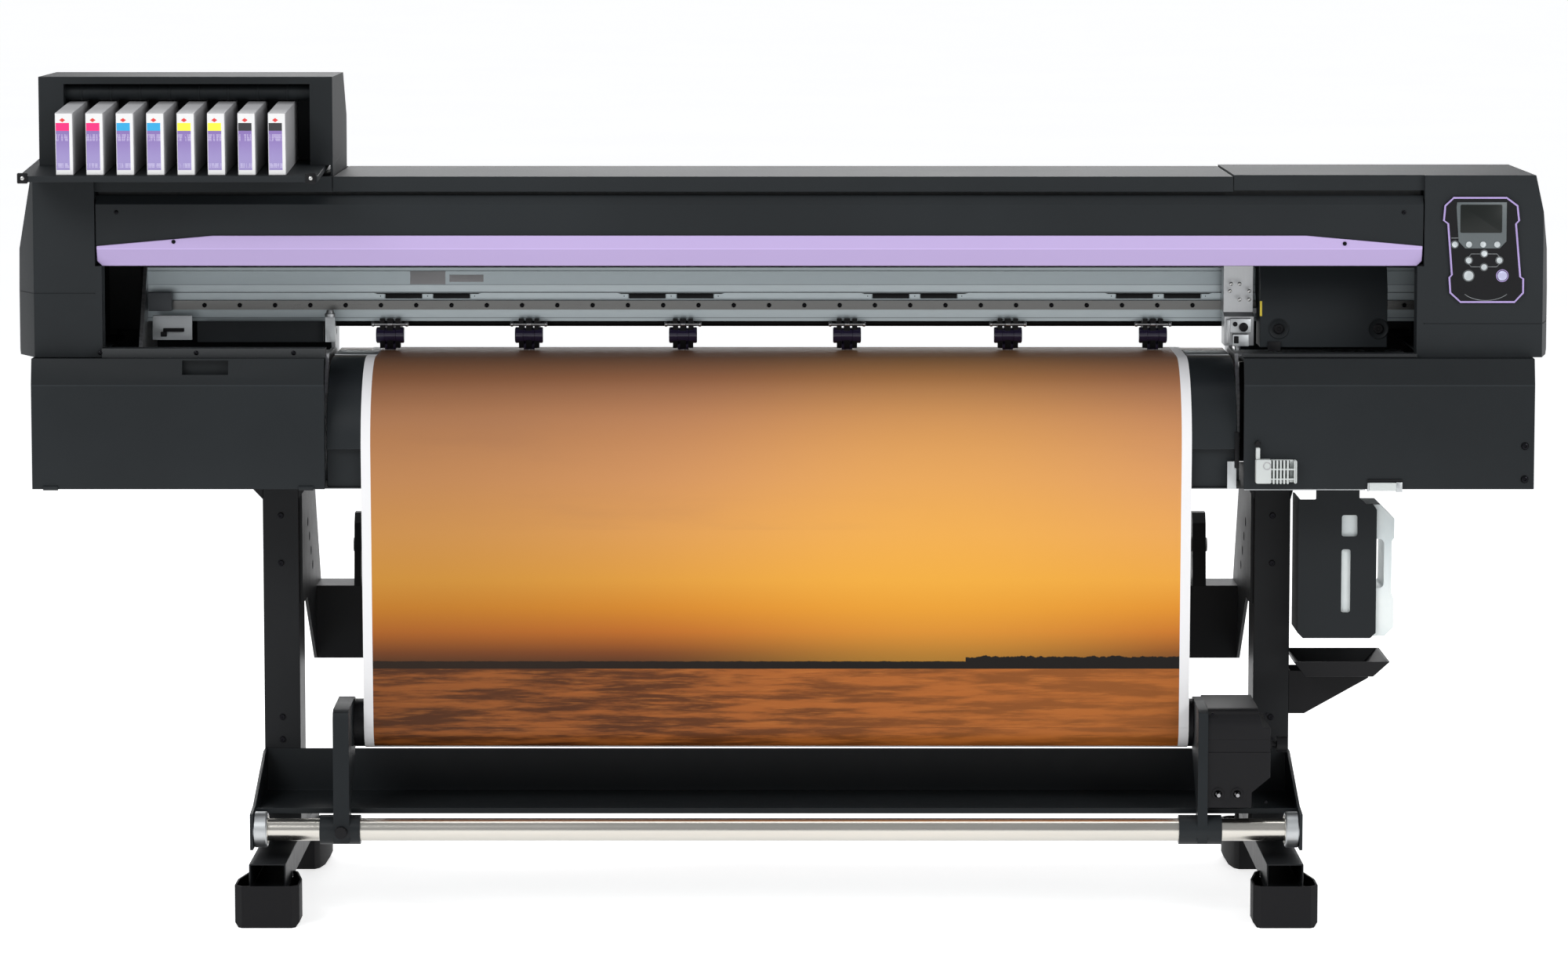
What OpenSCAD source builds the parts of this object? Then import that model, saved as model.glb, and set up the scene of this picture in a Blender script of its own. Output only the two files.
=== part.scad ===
// Wide-format roll printer and cutter on a stand, with a rear supply roll and a front take-up unit.
// Frame: +X to the right seen from the front, +Y to the rear, +Z up; the origin is on the floor,
// under the middle of the whole machine. Millimetres.

/* [Media] */
// Width of the loaded media
media_w = 1358; // [1100:1:1650]
// Thickness of the loaded media
media_t = 0.8; // [0.4:0.1:1.2]
// Air gap kept on both faces of the media
media_gap = 0.3; // [0.2:0.1:0.5]
// Width of paper guide beside the media on each side
guide_side = 65; // [45:1:90]
// Distance of the media's centre line from the middle of the paper guides
media_shift = -9; // [-15:1:0]

/* [Body] */
// Width of the left housing, which carries the cartridges
left_w = 524; // [520:1:600]
// Width of the right housing, which carries the control panel
right_w = 528; // [520:1:600]
// Height of the body from its underside to its top covers
body_h = 510; // [500:1:560]
// Height of the platen above the underside of the body
platen_h = 205.5; // [195:0.5:215]
// How far the right top cover stands above the middle one
right_lift = 2.5; // [0:0.5:5]
// Wall of the moulded covers
wall = 3; // [2:0.5:4]
// Gap between neighbouring covers
seam = 1; // [0.5:0.5:2]
// Distance of the front of the side covers from the machine's centre plane
side_front = 212; // [206:1:220]
// Distance of the front of the lower covers from the machine's centre plane
lower_front = 250; // [240:1:270]
// Distance of the rear wall from the machine's centre plane
rear_wall = 200; // [195:1:215]

/* [Platen and guides] */
// Radius of the curved front paper guide
front_guide_r = 140; // [120:1:145]
// Radius of the curved rear paper guide
rear_guide_r = 80; // [60:1:90]
// Thickness of the platen
platen_t = 20; // [18:1:30]
// Radius of the grit feed roller
feed_r = 10; // [8:0.5:12]
// Radius of the feed roller's journals
journal_r = 5; // [4:0.5:6]
// Radius of the pinch wheels
pinch_r = 7; // [5.5:0.5:8.5]
// Width of each pinch arm
pinch_w = 58; // [48:1:70]
// Radius of the pinch lift shaft
lift_r = 6; // [4:0.5:7]

/* [Carriage] */
// Height of the aluminium Y bar
bar_h = 90; // [80:1:100]
// Depth of the aluminium Y bar
bar_d = 80; // [60:1:95]
// Height of the linear rail's section
rail_h = 15; // [12:1:18]
// How far the linear rail stands out of the Y bar
rail_out = 10; // [8:1:13]
// Distance between the linear rail's fixing holes
rail_pitch = 59.2; // [50:0.1:80]
// Length of the carriage cover
carriage_w = 211; // [180:1:240]
// Length of the cutter unit
cutter_w = 49.5; // [40:0.5:60]

/* [Cartridges] */
// Width of a cartridge
cartridge_w = 28.5; // [24:0.5:36]
// Height of a cartridge
cartridge_h = 101; // [85:1:104]
// Length of a cartridge
cartridge_l = 317; // [290:1:320]
// Distance from one cartridge to the next
cartridge_pitch = 48.8; // [42:0.1:49]
// Slope of the cartridges, down towards the front
bay_tilt = 3.5; // [0:0.5:4]
// Height of the cartridge box above the top covers
box_h = 162; // [158:1:200]

/* [Control panel] */
// Radius of the small keys
key_r = 4.9; // [3.5:0.1:5.2]
// Radius of the large keys
big_key_r = 8; // [6:0.1:9]
// Thickness of the panel bezel
bezel_t = 4; // [3:0.5:6]

/* [Stand] */
// Height of the underside of the body above the floor
stand_h = 706; // [585:1:860]
// Depth of the stand over its four feet
stand_d = 700; // [583:1:850]
// Width of the stand's posts and legs
post_w = 60; // [50:1:72]
// Depth of a post
post_d = 100; // [80:1:120]
// Wall of the stand's steel tube
tube_wall = 2.5; // [2:0.5:4]
// Height of a leg tube
leg_h = 44; // [36:1:53]
// Height of a foot
foot_h = 69; // [66:1:76]
// Length of a foot
foot_l = 150; // [125:1:180]

/* [Take-up unit] */
// Radius of the steel take-up tube
tube_r = 18.5; // [15:0.1:22.5]
// Radius of the wound take-up roll
takeup_r = 41; // [35:1:50]
// Inside radius of the take-up roll's core
core_r = 25; // [21:0.5:30]
// Radius of the take-up hubs' shafts
hub_shaft_r = 8; // [6.5:0.5:10]

/* [Supply roll] */
// Radius of the supply roll
supply_r = 60; // [50:1:63]
// Radius of the supply roll's journals
supply_journal_r = 12; // [10:0.5:15]

/* [Fits] */
// Radial clearance of a shaft that turns or slides in a bore
fit = 0.06; // [0.02:0.01:0.1]
// Clearance between moving parts that don't touch
clear = 0.3; // [0.3:0.1:1]

/* [Hidden] */
$fn = 64;
KEYS = ["key_menu", "key_function", "key_base", "key_setup", "key_up", "key_left", "key_right", "key_down",
    "key_enter", "key_pause"];
INKS = ["cartridge_1", "cartridge_2", "cartridge_3", "cartridge_4", "cartridge_5", "cartridge_6",
    "cartridge_7", "cartridge_8"];
cartridges = len(INKS);

// Widths: outer ends, ends of the paper guides, edges of the media
overall_w = media_w + 2 * guide_side + left_w + right_w;
xl = -overall_w / 2;
xr = overall_w / 2;
gl = xl + left_w;
gr = xr - right_w;
mid = (gl + gr) / 2 + media_shift;
ml = mid - media_w / 2;
mr = mid + media_w / 2;

// Heights
zb = stand_h;
zp = zb + platen_h;
z_top = zb + body_h;
sill = zp + 9.5;
tray_t = 2;
sheet_gap = 0.2;

// Side covers
left_cover_w = 147;
right_cover_w = 224;
left_corner = 47;
right_corner = 30;
left_reveal = 191;
right_reveal = 243;
side_bow = 43;
column_w = 11;
front_y = -side_front;
return_y = front_y + 22;
lower_wall_in = 45;

// Top covers and front cover
top_front = -203;
top_rear = rear_wall - 55;
skirt_h = 25;
hinge_y = -198;
hinge_z = z_top - 35;
hinge_r = 4;
hinge_pin_r = 2.5;
plate_top_y = top_front - 8;
plate_low_y = top_front - 5;
plate_fold_z = z_top - 45;
plate_low_z = z_top - 116;
trim_low_z = z_top - 143;
trim_top_z = z_top - 96;
trim_end_z = z_top - 113;
trim_slope_l = 190;
left_seam = gl + 11;
right_seam = gr - 7;

// Feed roller, pinch arms and web
feed_y = 38;
feed_z = zp - feed_r;
pulley_r = feed_r - 0.5;
web_z = zp + media_gap;
pinch_z = web_z + media_t + media_gap + pinch_r;
pinch_pin_r = 2;
pinch_wheel_w = 18;
pinch_at = [0, 0.182, 0.384, 0.599, 0.81, 1];
pinch_edge_l = 31;
pinch_edge_r = 48;
lift_y = 95;
lift_z = zp + 28.5;
front_arc = [-90, zp - front_guide_r];
rear_arc = [95, zp - rear_guide_r];
guide_t = 3;
platen_wall = 4;
bearing_t = 6;
bearing_out = 8;

// Y bar and rail
bar_y = 50;
bar_z = zp + 48.5;
bar_l = xl + 203;
bar_r = xr - 120;
bar_wall = 5;
rail_y = bar_y - rail_out;
rail_z = bar_z + 20;
rail_seat = 2;
rail_run = 0.1;

// Carriage, parked at the right
carriage_x = gr + 50;
cutter_gap = 8.5;
carriage_front = -62;
carriage_low = zp + 13.5;
carriage_fold = carriage_low + 96;
carriage_top = carriage_low + 139;
carriage_back = 18;
cutter_x = carriage_x - cutter_gap - cutter_w;
block_low = rail_z - 4;
block_high = rail_z + rail_h + 13;
block_back = bar_y - 2;

// Cartridge bay
bx0 = xl + 56;
bx1 = gl + 11;
bay_l = bx0 + 46;
bay_r = bx1 - 42;
shelf_y = -345;
shelf_z = z_top + 8;
shelf_t = 10;
box_front = -190;
box_rear = 105;
box_top_rear = 40;
box_top = z_top + box_h;
box_wall = 4;
slot_front = 235;
slot_back = 330;
cartridge_u = 8;
slot_side = 0.6;

// Control panel
panel_x = xr - 128;
panel_z = z_top - 119;
key_row_z = 9;
key_row = [-47, -24, -1, 22];
key_cross = [1, -17];
key_travel = 1;

// Stand
leg_z = 58;
post_x = [mid - media_w / 2 - 150, mid + media_w / 2 + 150];
post_front = -30;
foot_wide = 105;
foot_narrow = 80;
foot_wall = 3;
stand_l = post_x[0] - post_w / 2;
stand_r = post_x[1] + post_w / 2;

// Take-up unit
tube_y = -280;
tube_z = 151;
beam_low = 173;
beam_h = 74;
shelf_front = -254;
end_plate = 5;
ring_l = 23;
takeup_y = -165;
takeup_z = 311;
collar_r = tube_r + 5.5;
knob_r = 10;
hub_r = 39.5;
left_arm = [ml - 44, ml - 18];
right_arm = [mr + 9, mr + 25];
arm_front = -303;
motor_x = [right_arm[1], mr + 127];
motor_y = [-298, -130];
motor_z = [190, 352];
motor_round = 25;
stub_y = -245;
stub_z = 287;
stub_knob_r = 13;
switch_x = [motor_x[0] + 17, motor_x[0] + 48];
switch_z = 213;
knob_x = ml - 31;

// Supply unit
supply_y = 280;
supply_z = zb - 151;
beam_y = [250, 349];
beam_z = [zb - 345, zb - 219];
plate_t = 5;
beam_wall = 2.5;

// Waste bottle and tray
waste_x = stand_r + 7;
waste_y = -103;
waste_low = zb - 263;
tray_x = [stand_r, stand_r + 160];
tray_z = [zb - 328, zb - 301];

// Cable of the take-up motor, from the motor box down and back up to the lower beam,
// measured from the left end of the motor box
cable_r = 3.5;
cable_sides = 8;
cable_points = [[60, -150, 190], [60, -150, 181], [60, -149.5, 171], [60, -148.5, 160], [60.5, -147, 149],
    [61.5, -144.5, 138], [63, -140.5, 128], [65.5, -135, 119.5], [69, -128, 113], [73, -120, 109.5],
    [77, -112, 109.5], [80.5, -105, 113], [83.5, -99.5, 119], [85.5, -95.5, 127], [86.5, -93, 136],
    [87, -92, 146], [87, -92, 156], [87, -92, 165], [87, -92, 173]];

// Unit vector a quarter turn to the left of the way from a to b
function left_of(a, b) = let (d = b - a) [-d[1], d[0]] / norm(d);
// A corner moved so that both of its edges, with unit normals n0 and n1, move by t
function corner(p, n0, n1, t) = let (m = n0 + n1) p + m * 2 * t / (m * m);
// Corner i of an open path, moved sideways
function beside(p, i, t) = let (
    n0 = i > 0 ? left_of(p[i - 1], p[i]) : left_of(p[0], p[1]),
    n1 = i < len(p) - 1 ? left_of(p[i], p[i + 1]) : n0)
    corner(p[i], n0, n1, t);
// Outline of a strip of thickness t along an open path
function strip(p, t) = concat(p, [for (i = [len(p) - 1:-1:0]) beside(p, i, t)]);
// A closed outline, drawn anticlockwise, moved inwards by t
function inset(p, t) = let (n = len(p)) [for (i = [0:n - 1])
    corner(p[i], left_of(p[(i + n - 1) % n], p[i]), left_of(p[i], p[(i + 1) % n]), t)];
// Points of an arc, from angle a0 to a1
function arc(c, r, a0, a1, n = 16) = [for (i = [0:n]) let (a = a0 + (a1 - a0) * i / n) c + r * [cos(a), sin(a)]];
// Direction from both centres to their common tangent, for circles c1, r1 and c2, r2; side is 1 or -1
function tangent(c1, r1, c2, r2, side) = let (
    l = norm(c2 - c1), u = (c2 - c1) / l, a = (r1 - r2) / l)
    u * a + side * [-u[1], u[0]] * sqrt(1 - a * a);
// Centre of pinch arm i
function pinch_x(i) = ml + pinch_edge_l + pinch_at[i] * (media_w - pinch_edge_l - pinch_edge_r);
// Left side of cartridge i
function ink_x(i) = bay_l + i * cartridge_pitch;

module along_x(x0, x1) translate([x0, 0, 0]) rotate([90, 0, 90]) linear_extrude(x1 - x0) children();
module along_y(y0, y1) translate([0, y1, 0]) rotate([90, 0, 0]) linear_extrude(y1 - y0) children();
module along_z(z0, z1) translate([0, 0, z0]) linear_extrude(z1 - z0) children();
module block(x, y, z) translate([x[0], y[0], z[0]]) cube([x[1] - x[0], y[1] - y[0], z[1] - z[0]]);
module rod_x(x, y, z, r) translate([x[0], y, z]) rotate([0, 90, 0]) cylinder(r = r, h = x[1] - x[0]);
module rod_y(y, x, z, r) translate([x, y[1], z]) rotate([90, 0, 0]) cylinder(r = r, h = y[1] - y[0]);
module rod_z(z, x, y, r) translate([x, y, z[0]]) cylinder(r = r, h = z[1] - z[0]);
// Rectangle with round corners, from corner a to corner b
module rounded(a, b, r) {
    translate([a[0] + r, a[1]]) square([b[0] - a[0] - 2 * r, b[1] - a[1]]);
    translate([a[0], a[1] + r]) square([b[0] - a[0], b[1] - a[1] - 2 * r]);
    for (x = [a[0] + r, b[0] - r]) for (y = [a[1] + r, b[1] - r]) translate([x, y]) circle(r);
}
// The cartridges' own frame: its origin is the shelf's front edge and +Y runs up the slope
module in_bay() translate([0, shelf_y, shelf_z]) rotate([bay_tilt, 0, 0]) children();

// ---- Stand ----
module stand_sides() color([0.13, 0.14, 0.15])
    for (x = post_x) difference() {
        union() {
            block([x - post_w / 2, x + post_w / 2], [20 - stand_d / 2, stand_d / 2 - 20], [leg_z, leg_z + leg_h]);
            block([x - post_w / 2, x + post_w / 2], [post_front, post_front + post_d], [leg_z + leg_h, zb]);
        }
        translate([x, 0, 0]) {
            block([tube_wall - post_w / 2, post_w / 2 - tube_wall], [-stand_d / 2, stand_d / 2],
                [leg_z + tube_wall, leg_z + leg_h - tube_wall]);
            block([tube_wall - post_w / 2, post_w / 2 - tube_wall],
                [post_front + tube_wall, post_front + post_d - tube_wall], [leg_z + leg_h, zb + 1]);
        }
    }

module foot() {
    outline = [[-foot_wide / 2 + 12, 0], [foot_wide / 2 - 12, 0], [foot_wide / 2, 12], [foot_wide / 2, foot_l * 0.45],
        [foot_narrow / 2, foot_l - 12], [foot_narrow / 2 - 8, foot_l], [8 - foot_narrow / 2, foot_l],
        [-foot_narrow / 2, foot_l - 12], [-foot_wide / 2, foot_l * 0.45], [-foot_wide / 2, 12]];
    difference() {
        intersection() {
            along_z(0, foot_h) polygon(outline);
            along_y(-1, foot_l + 1) polygon([[-foot_wide / 2 + 6, 0], [foot_wide / 2 - 6, 0], [foot_wide / 2, 8],
                [foot_wide / 2, foot_h], [-foot_wide / 2, foot_h], [-foot_wide / 2, 8]]);
        }
        difference() {
            along_z(8, foot_h + 1) polygon(inset(outline, foot_wall));
            block([-post_w / 2, post_w / 2], [30, foot_l - 20], [0, leg_z]);
        }
        block([-post_w / 2 - clear, post_w / 2 + clear], [12, foot_l + 1], [leg_z, foot_h + 1]);
    }
}

module foot_boxes() color([0.07, 0.07, 0.075])
    for (x = post_x) {
        translate([x, -stand_d / 2, 0]) foot();
        mirror([0, 1, 0]) translate([x, -stand_d / 2, 0]) foot();
    }

module lower_beam() color([0.12, 0.13, 0.14]) {
    difference() {
        along_x(stand_l, stand_r) polygon(strip([[shelf_front, beam_low + 9], [shelf_front, beam_low],
            [post_front, beam_low], [post_front, beam_low + beam_h]], 3));
        // Hole for the take-up motor's cable
        rod_z([beam_low - 1, beam_low + 4], motor_x[0] + cable_points[0][0], cable_points[0][1], 2 * cable_r);
    }
    for (x = [stand_l, stand_r - end_plate])
        along_x(x, x + end_plate) polygon([[tube_y - tube_r - 9, beam_low - 52], [post_front - 30, beam_low - 52],
            [post_front, beam_low], [post_front, beam_low + beam_h], [post_front - 30, beam_low + beam_h],
            [shelf_front, beam_low + 13], [tube_y - tube_r - 9, tube_z + tube_r + 11]]);
}

module takeup_tube() color([0.62, 0.61, 0.58]) {
    rod_x([stand_l + end_plate, stand_r - end_plate], tube_y, tube_z, tube_r);
    rod_x([stand_l + end_plate, stand_l + end_plate + ring_l], tube_y, tube_z, tube_r + 5);
    rod_x([stand_r - end_plate - ring_l, stand_r - end_plate], tube_y, tube_z, tube_r + 5);
}

// Side view of a take-up arm: it stands on the tube's collar, in front of the shelf's lip, and leans
// back over the shelf to hold the roll's axis
module arm_side() {
    foot = tube_z - 0.8 * collar_r;
    polygon([[arm_front, foot], [shelf_front - 4, foot], [shelf_front - 4, beam_low + 17],
        [takeup_y + 43, takeup_z - 12], [takeup_y + 43, takeup_z], [takeup_y, takeup_z + 43],
        [arm_front + 14, takeup_z + 40], [arm_front + 4, takeup_z + 35], [arm_front, takeup_z + 25]]);
    translate([takeup_y, takeup_z]) circle(43);
}

module takeup_left_arm() color([0.11, 0.12, 0.13])
    difference() {
        union() {
            along_x(left_arm[0], left_arm[1]) arm_side();
            rod_x([left_arm[0] - 23, left_arm[1] + 17], tube_y, tube_z, collar_r);
        }
        rod_x([left_arm[0] - 24, left_arm[1] + 18], tube_y, tube_z, tube_r + fit);
        rod_x([left_arm[0] - 1, left_arm[1] + 1], takeup_y, takeup_z, hub_shaft_r + fit);
        rod_y([tube_y - collar_r - 2, tube_y], knob_x, tube_z, 5 + fit);
    }

module takeup_right_arm() color([0.11, 0.12, 0.13])
    difference() {
        union() {
            along_x(right_arm[0], right_arm[1]) arm_side();
            rod_x([right_arm[0] - 30, right_arm[1] + 24], tube_y, tube_z, collar_r);
        }
        rod_x([right_arm[0] - 31, right_arm[1] + 25], tube_y, tube_z, tube_r + fit);
        rod_x([right_arm[0] - 1, right_arm[1] + 1], takeup_y, takeup_z, hub_shaft_r + fit);
    }

module clamp_knob() color([0.06, 0.06, 0.065])
    translate([knob_x, 0, tube_z]) {
        rod_y([tube_y - collar_r - 4, tube_y - tube_r - 1], 0, 0, 5);
        difference() {
            rod_y([tube_y - collar_r - 16, tube_y - collar_r - 3], 0, 0, knob_r);
            for (i = [0:11]) rotate([0, i * 30, 0])
                rod_y([tube_y - collar_r - 17, tube_y - collar_r - 6], knob_r + 0.8, 0, 1.5);
        }
    }

module motor_box() color([0.1, 0.11, 0.12]) {
    front = motor_y[0];
    difference() {
        intersection() {
            along_y(front, motor_y[1]) polygon([[motor_x[0], motor_z[0]], [motor_x[1] - 30, motor_z[0]],
                [motor_x[1] - 30, motor_z[0] + 25], [motor_x[1], motor_z[0] + 50], [motor_x[1], motor_z[1] - 30],
                [motor_x[1] - 12, motor_z[1] - 30], [motor_x[1] - 19, motor_z[1] - 8],
                [motor_x[1] - 19, motor_z[1]], [motor_x[0], motor_z[1]]]);
            along_x(motor_x[0], motor_x[1]) polygon(concat([[motor_y[1], motor_z[1]], [motor_y[1], motor_z[0]],
                [front, motor_z[0]]], [for (a = [180:-15:90]) [front + motor_round, motor_z[1] - motor_round]
                    + motor_round * [cos(a), sin(a)]]));
        }
        rod_x([motor_x[0] - 1, motor_x[0] + 42], takeup_y, takeup_z, hub_shaft_r + fit);
        for (x = switch_x) rod_y([front - 1, front + 8], x, switch_z, 6);
        // Shallow band across the front
        block([motor_x[0] - 1, motor_x[1] + 1], [front - 1, front + 1.5], [stub_z - 6, stub_z + 16]);
    }
    for (x = switch_x) difference() {
        rod_y([front - 2, front], x, switch_z, 10);
        rod_y([front - 3, front + 1], x, switch_z, 6);
    }
    // Stub of the torque knob
    rod_x([motor_x[1], motor_x[1] + 6], stub_y, stub_z, stub_knob_r - 1);
    rod_x([motor_x[1] + 6, motor_x[1] + 14], stub_y, stub_z, 5);
    rod_x([motor_x[1] + 14, motor_x[1] + 32], stub_y, stub_z, stub_knob_r);
}

// Bat lever of a switch, with its pivot
module switch_lever(x) {
    rod_y([motor_y[0] - 18, motor_y[0] + 4], x, switch_z, 3);
    rod_x([x - 3.5, x + 3.5], motor_y[0] + 3, switch_z, 3.5);
}
module direction_switch() color([0.75, 0.75, 0.74]) switch_lever(switch_x[0]);
module mode_switch() color([0.75, 0.75, 0.74]) switch_lever(switch_x[1]);

// Ring of points at step i of the cable
function cable_dir(i) = let (n = len(cable_points), d = cable_points[min(i + 1, n - 1)] - cable_points[max(i - 1, 0)])
    d / norm(d);
function cable_ring(i) = let (d = (i == 0 || i == len(cable_points) - 1) ? [0, 0, i == 0 ? -1 : 1] : cable_dir(i),
    a = cross(d, [1, 0, 0]), u = a / norm(a), v = cross(d, u))
    [for (k = [0:cable_sides - 1]) cable_points[i]
        + cable_r * (cos(k * 360 / cable_sides) * u + sin(k * 360 / cable_sides) * v)];
module takeup_cable() color([0.03, 0.03, 0.03]) {
    n = len(cable_points);
    m = cable_sides;
    points = [for (i = [0:n - 1]) each cable_ring(i)];
    walls = [for (i = [0:n - 2]) for (k = [0:m - 1])
        [i * m + k, i * m + (k + 1) % m, (i + 1) * m + (k + 1) % m, (i + 1) * m + k]];
    ends = [[for (k = [m - 1:-1:0]) k], [for (k = [0:m - 1]) (n - 1) * m + k]];
    translate([motor_x[0], 0, 0]) polyhedron(points, concat(walls, ends));
}

module drive_hub() color([0.55, 0.56, 0.57]) {
    rod_x([mr + 0.5, right_arm[0] - 1], takeup_y, takeup_z, hub_r);
    rod_x([mr - 38, mr + 1], takeup_y, takeup_z, core_r - fit);
    rod_x([mr, right_arm[1] + 40], takeup_y, takeup_z, hub_shaft_r);
}

module takeup_roll() color([0.8, 0.78, 0.72])
    difference() {
        rod_x([ml, mr], takeup_y, takeup_z, takeup_r);
        rod_x([ml - 1, mr + 1], takeup_y, takeup_z, core_r);
    }

module idle_hub() color([0.1, 0.1, 0.11]) {
    rod_x([left_arm[1] + 1, ml - 1], takeup_y, takeup_z, hub_r);
    rod_x([ml - 2, ml + 18], takeup_y, takeup_z, core_r - 0.5);
    rod_x([left_arm[0], ml], takeup_y, takeup_z, hub_shaft_r);
}

// ---- Rear supply ----
module rear_beam() color([0.13, 0.14, 0.15]) {
    inner = [post_x[0] + post_w / 2, post_x[1] - post_w / 2];
    along_x(inner[0], inner[1]) difference() {
        polygon([[beam_y[0], beam_z[0]], [beam_y[1], beam_z[0]], [beam_y[1], beam_z[1]], [beam_y[0], beam_z[1]]]);
        polygon(inset([[beam_y[0], beam_z[0]], [beam_y[1], beam_z[0]], [beam_y[1], beam_z[1]],
            [beam_y[0], beam_z[1]]], beam_wall));
    }
    for (x = [inner[0], inner[1] - plate_t]) difference() {
        along_x(x, x + plate_t) polygon([[post_front + 10, zb], [post_front + 10, zb - 216],
            [post_front + post_d, zb - 216], [beam_y[0], beam_z[0]], [beam_y[1], beam_z[0]], [beam_y[1], beam_z[1]],
            [rear_wall + 10, zb]]);
        for (i = [0:3]) rod_x([x - 1, x + plate_t + 1], 90 + 30 * i, zb - 90 - 28 * i, 8);
    }
    for (x = [[ml - 49, ml - 37], [mr + 37, mr + 60]]) difference() {
        along_x(x[0], x[1]) polygon([[supply_y - 40, beam_z[1]], [supply_y + 60, beam_z[1]],
            [supply_y + 24, supply_z + 40], [supply_y + 12, supply_z + 57], [supply_y - 12, supply_z + 57],
            [supply_y - 26, supply_z + 40]]);
        rod_x([x[0] - 1, x[1] + 1], supply_y, supply_z, supply_journal_r + fit);
    }
}

module supply_roll() color([0.93, 0.93, 0.91]) {
    rod_x([ml, mr], supply_y, supply_z, supply_r);
    for (x = [[ml - 12, ml], [mr, mr + 12]]) rod_x(x, supply_y, supply_z, supply_r - 14);
    rod_x([ml - 52, mr + 64], supply_y, supply_z, supply_journal_r);
}

// ---- Body: frame, platen, guides ----
// Sheets of the chassis. They are screwed together, so each keeps the small gap of its seat to the next.
module main_frame() color([0.62, 0.64, 0.65]) {
    stand_on = zb + tray_t + sheet_gap;
    block([xl + 62, xr - 62], [-222, rear_wall - 10], [zb, zb + tray_t]);
    block([gl, gr], [rear_wall - 16, rear_wall - 12], [stand_on, zb + 90]);
    // Uprights that carry the Y bar
    for (x = [bar_l - bearing_t, bar_r])
        along_x(x, x + bearing_t) polygon([[-100, stand_on], [rear_wall - 12, stand_on],
            [rear_wall - 12, bar_z + bar_h + 10], [bar_y + 2, bar_z + bar_h + 10], [-100, zb + 120]]);
    // Bearing plates for the feed roller and the pinch lift shaft
    for (x = [gl - bearing_out - bearing_t, gr + bearing_out]) difference() {
        along_x(x, x + bearing_t) polygon([[-100, stand_on], [150, stand_on], [150, bar_z - 4],
            [62, bar_z - 4], [62, zp + 3], [-60, zp + 3], [-100, zp - 60]]);
        rod_x([x - 1, x + bearing_t + 1], feed_y, feed_z, journal_r + fit);
        rod_x([x - 1, x + bearing_t + 1], lift_y, lift_z, lift_r + fit);
    }
    // Floors and sills of the two end bays
    bay_lx = xl + left_cover_w + column_w;
    bay_rx = xr - right_cover_w - column_w;
    floor_rear = feed_y - pulley_r - 3;
    for (x = [[bay_lx, bar_l - bearing_t - sheet_gap], [bar_l + sheet_gap, gl - bearing_out - bearing_t - sheet_gap]])
        block(x, [return_y, floor_rear], [sill - 10, sill - 7]);
    block([gr + bearing_out + bearing_t + sheet_gap, bay_rx], [return_y, floor_rear], [sill - 10, sill - 7]);
    block([bay_lx, gl - 2], [return_y - 32, return_y], [sill, sill + 15]);
    block([gr + 9, bay_rx], [return_y - 32, return_y], [sill + seam, sill + seam + 5]);
    // Sheet behind the front cover's hinge, and sheets behind the side covers' rear seams
    block([xl + left_cover_w + 4, xr - right_cover_w - 4], [hinge_y + 16, hinge_y + 18],
        [hinge_z - 45, z_top - wall - sheet_gap]);
    for (x = [xl + left_cover_w - 25, xr - right_cover_w - 30])
        block([x, x + 55], [rear_wall - 12, rear_wall - 10], [sill + wall + 3, z_top - 100]);
}

// Hollow vacuum platen with the feed roller's slot, and the rear guide that starts behind it
module platen() color([0.2, 0.17, 0.15])
    difference() {
        union() {
            block([gl, gr], [front_arc[0] + sheet_gap, rear_arc[0]], [zp - platen_t, zp]);
            along_x(gl, gr) polygon(strip(arc(rear_arc, rear_guide_r, 90, 0), -guide_t));
        }
        for (y = [[front_arc[0] + guide_t, feed_y - feed_r - 2 - guide_t],
            [feed_y + feed_r + 2 + guide_t, rear_arc[0] - guide_t]])
            block([gl + 12, gr - 12], y, [zp - platen_t - 1, zp - platen_wall]);
        block([gl + 12, gr - 12], [feed_y - feed_r - 2, feed_y + feed_r + 2], [zp - platen_t - 1, zp + 1]);
        rod_x([gl - 1, gr + 1], feed_y, feed_z, journal_r + 1);
    }

module front_guide() color([0.11, 0.12, 0.125])
    along_x(gl, gr) polygon(strip(concat(arc(front_arc, front_guide_r, 90, 180),
        [[front_arc[0] - front_guide_r + 14, front_arc[1] - 1], [front_arc[0] - front_guide_r + 14, zb + tray_t]]),
        guide_t));

module feed_roller() color([0.5, 0.5, 0.5]) {
    rod_x([gl + 14, gr - 14], feed_y, feed_z, feed_r);
    rod_x([gl - 20, gr + 22], feed_y, feed_z, journal_r);
    rod_x([gr + 22, gr + 32], feed_y, feed_z, pulley_r);
}

// Side view of a pinch arm: lift shaft boss, arm under the Y bar, and head in front of it
module pinch_side() polygon([[22, zp + 13.5], [30, zp + 4], [46, zp + 4], [60, lift_z - 10], [lift_y + 8, lift_z - 10],
    [lift_y + 8, lift_z + 10], [bar_y, bar_z - 8], [44, bar_z - 8], [42, zp + 54.5], [22, zp + 54.5]]);

module pinch_arms() color([0.07, 0.07, 0.08]) {
    rod_x([gl - 20, gr + 20], lift_y, lift_z, lift_r);
    for (i = [0:len(pinch_at) - 1]) difference() {
        along_x(pinch_x(i) - pinch_w / 2, pinch_x(i) + pinch_w / 2) pinch_side();
        block([pinch_x(i) - pinch_wheel_w / 2 - 1, pinch_x(i) + pinch_wheel_w / 2 + 1],
            [feed_y - pinch_r - 1.5, feed_y + pinch_r + 1.5], [zp, pinch_z + pinch_r + 1.5]);
        rod_x([pinch_x(i) - 18, pinch_x(i) + 18], feed_y, pinch_z, pinch_pin_r + fit);
    }
}

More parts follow.
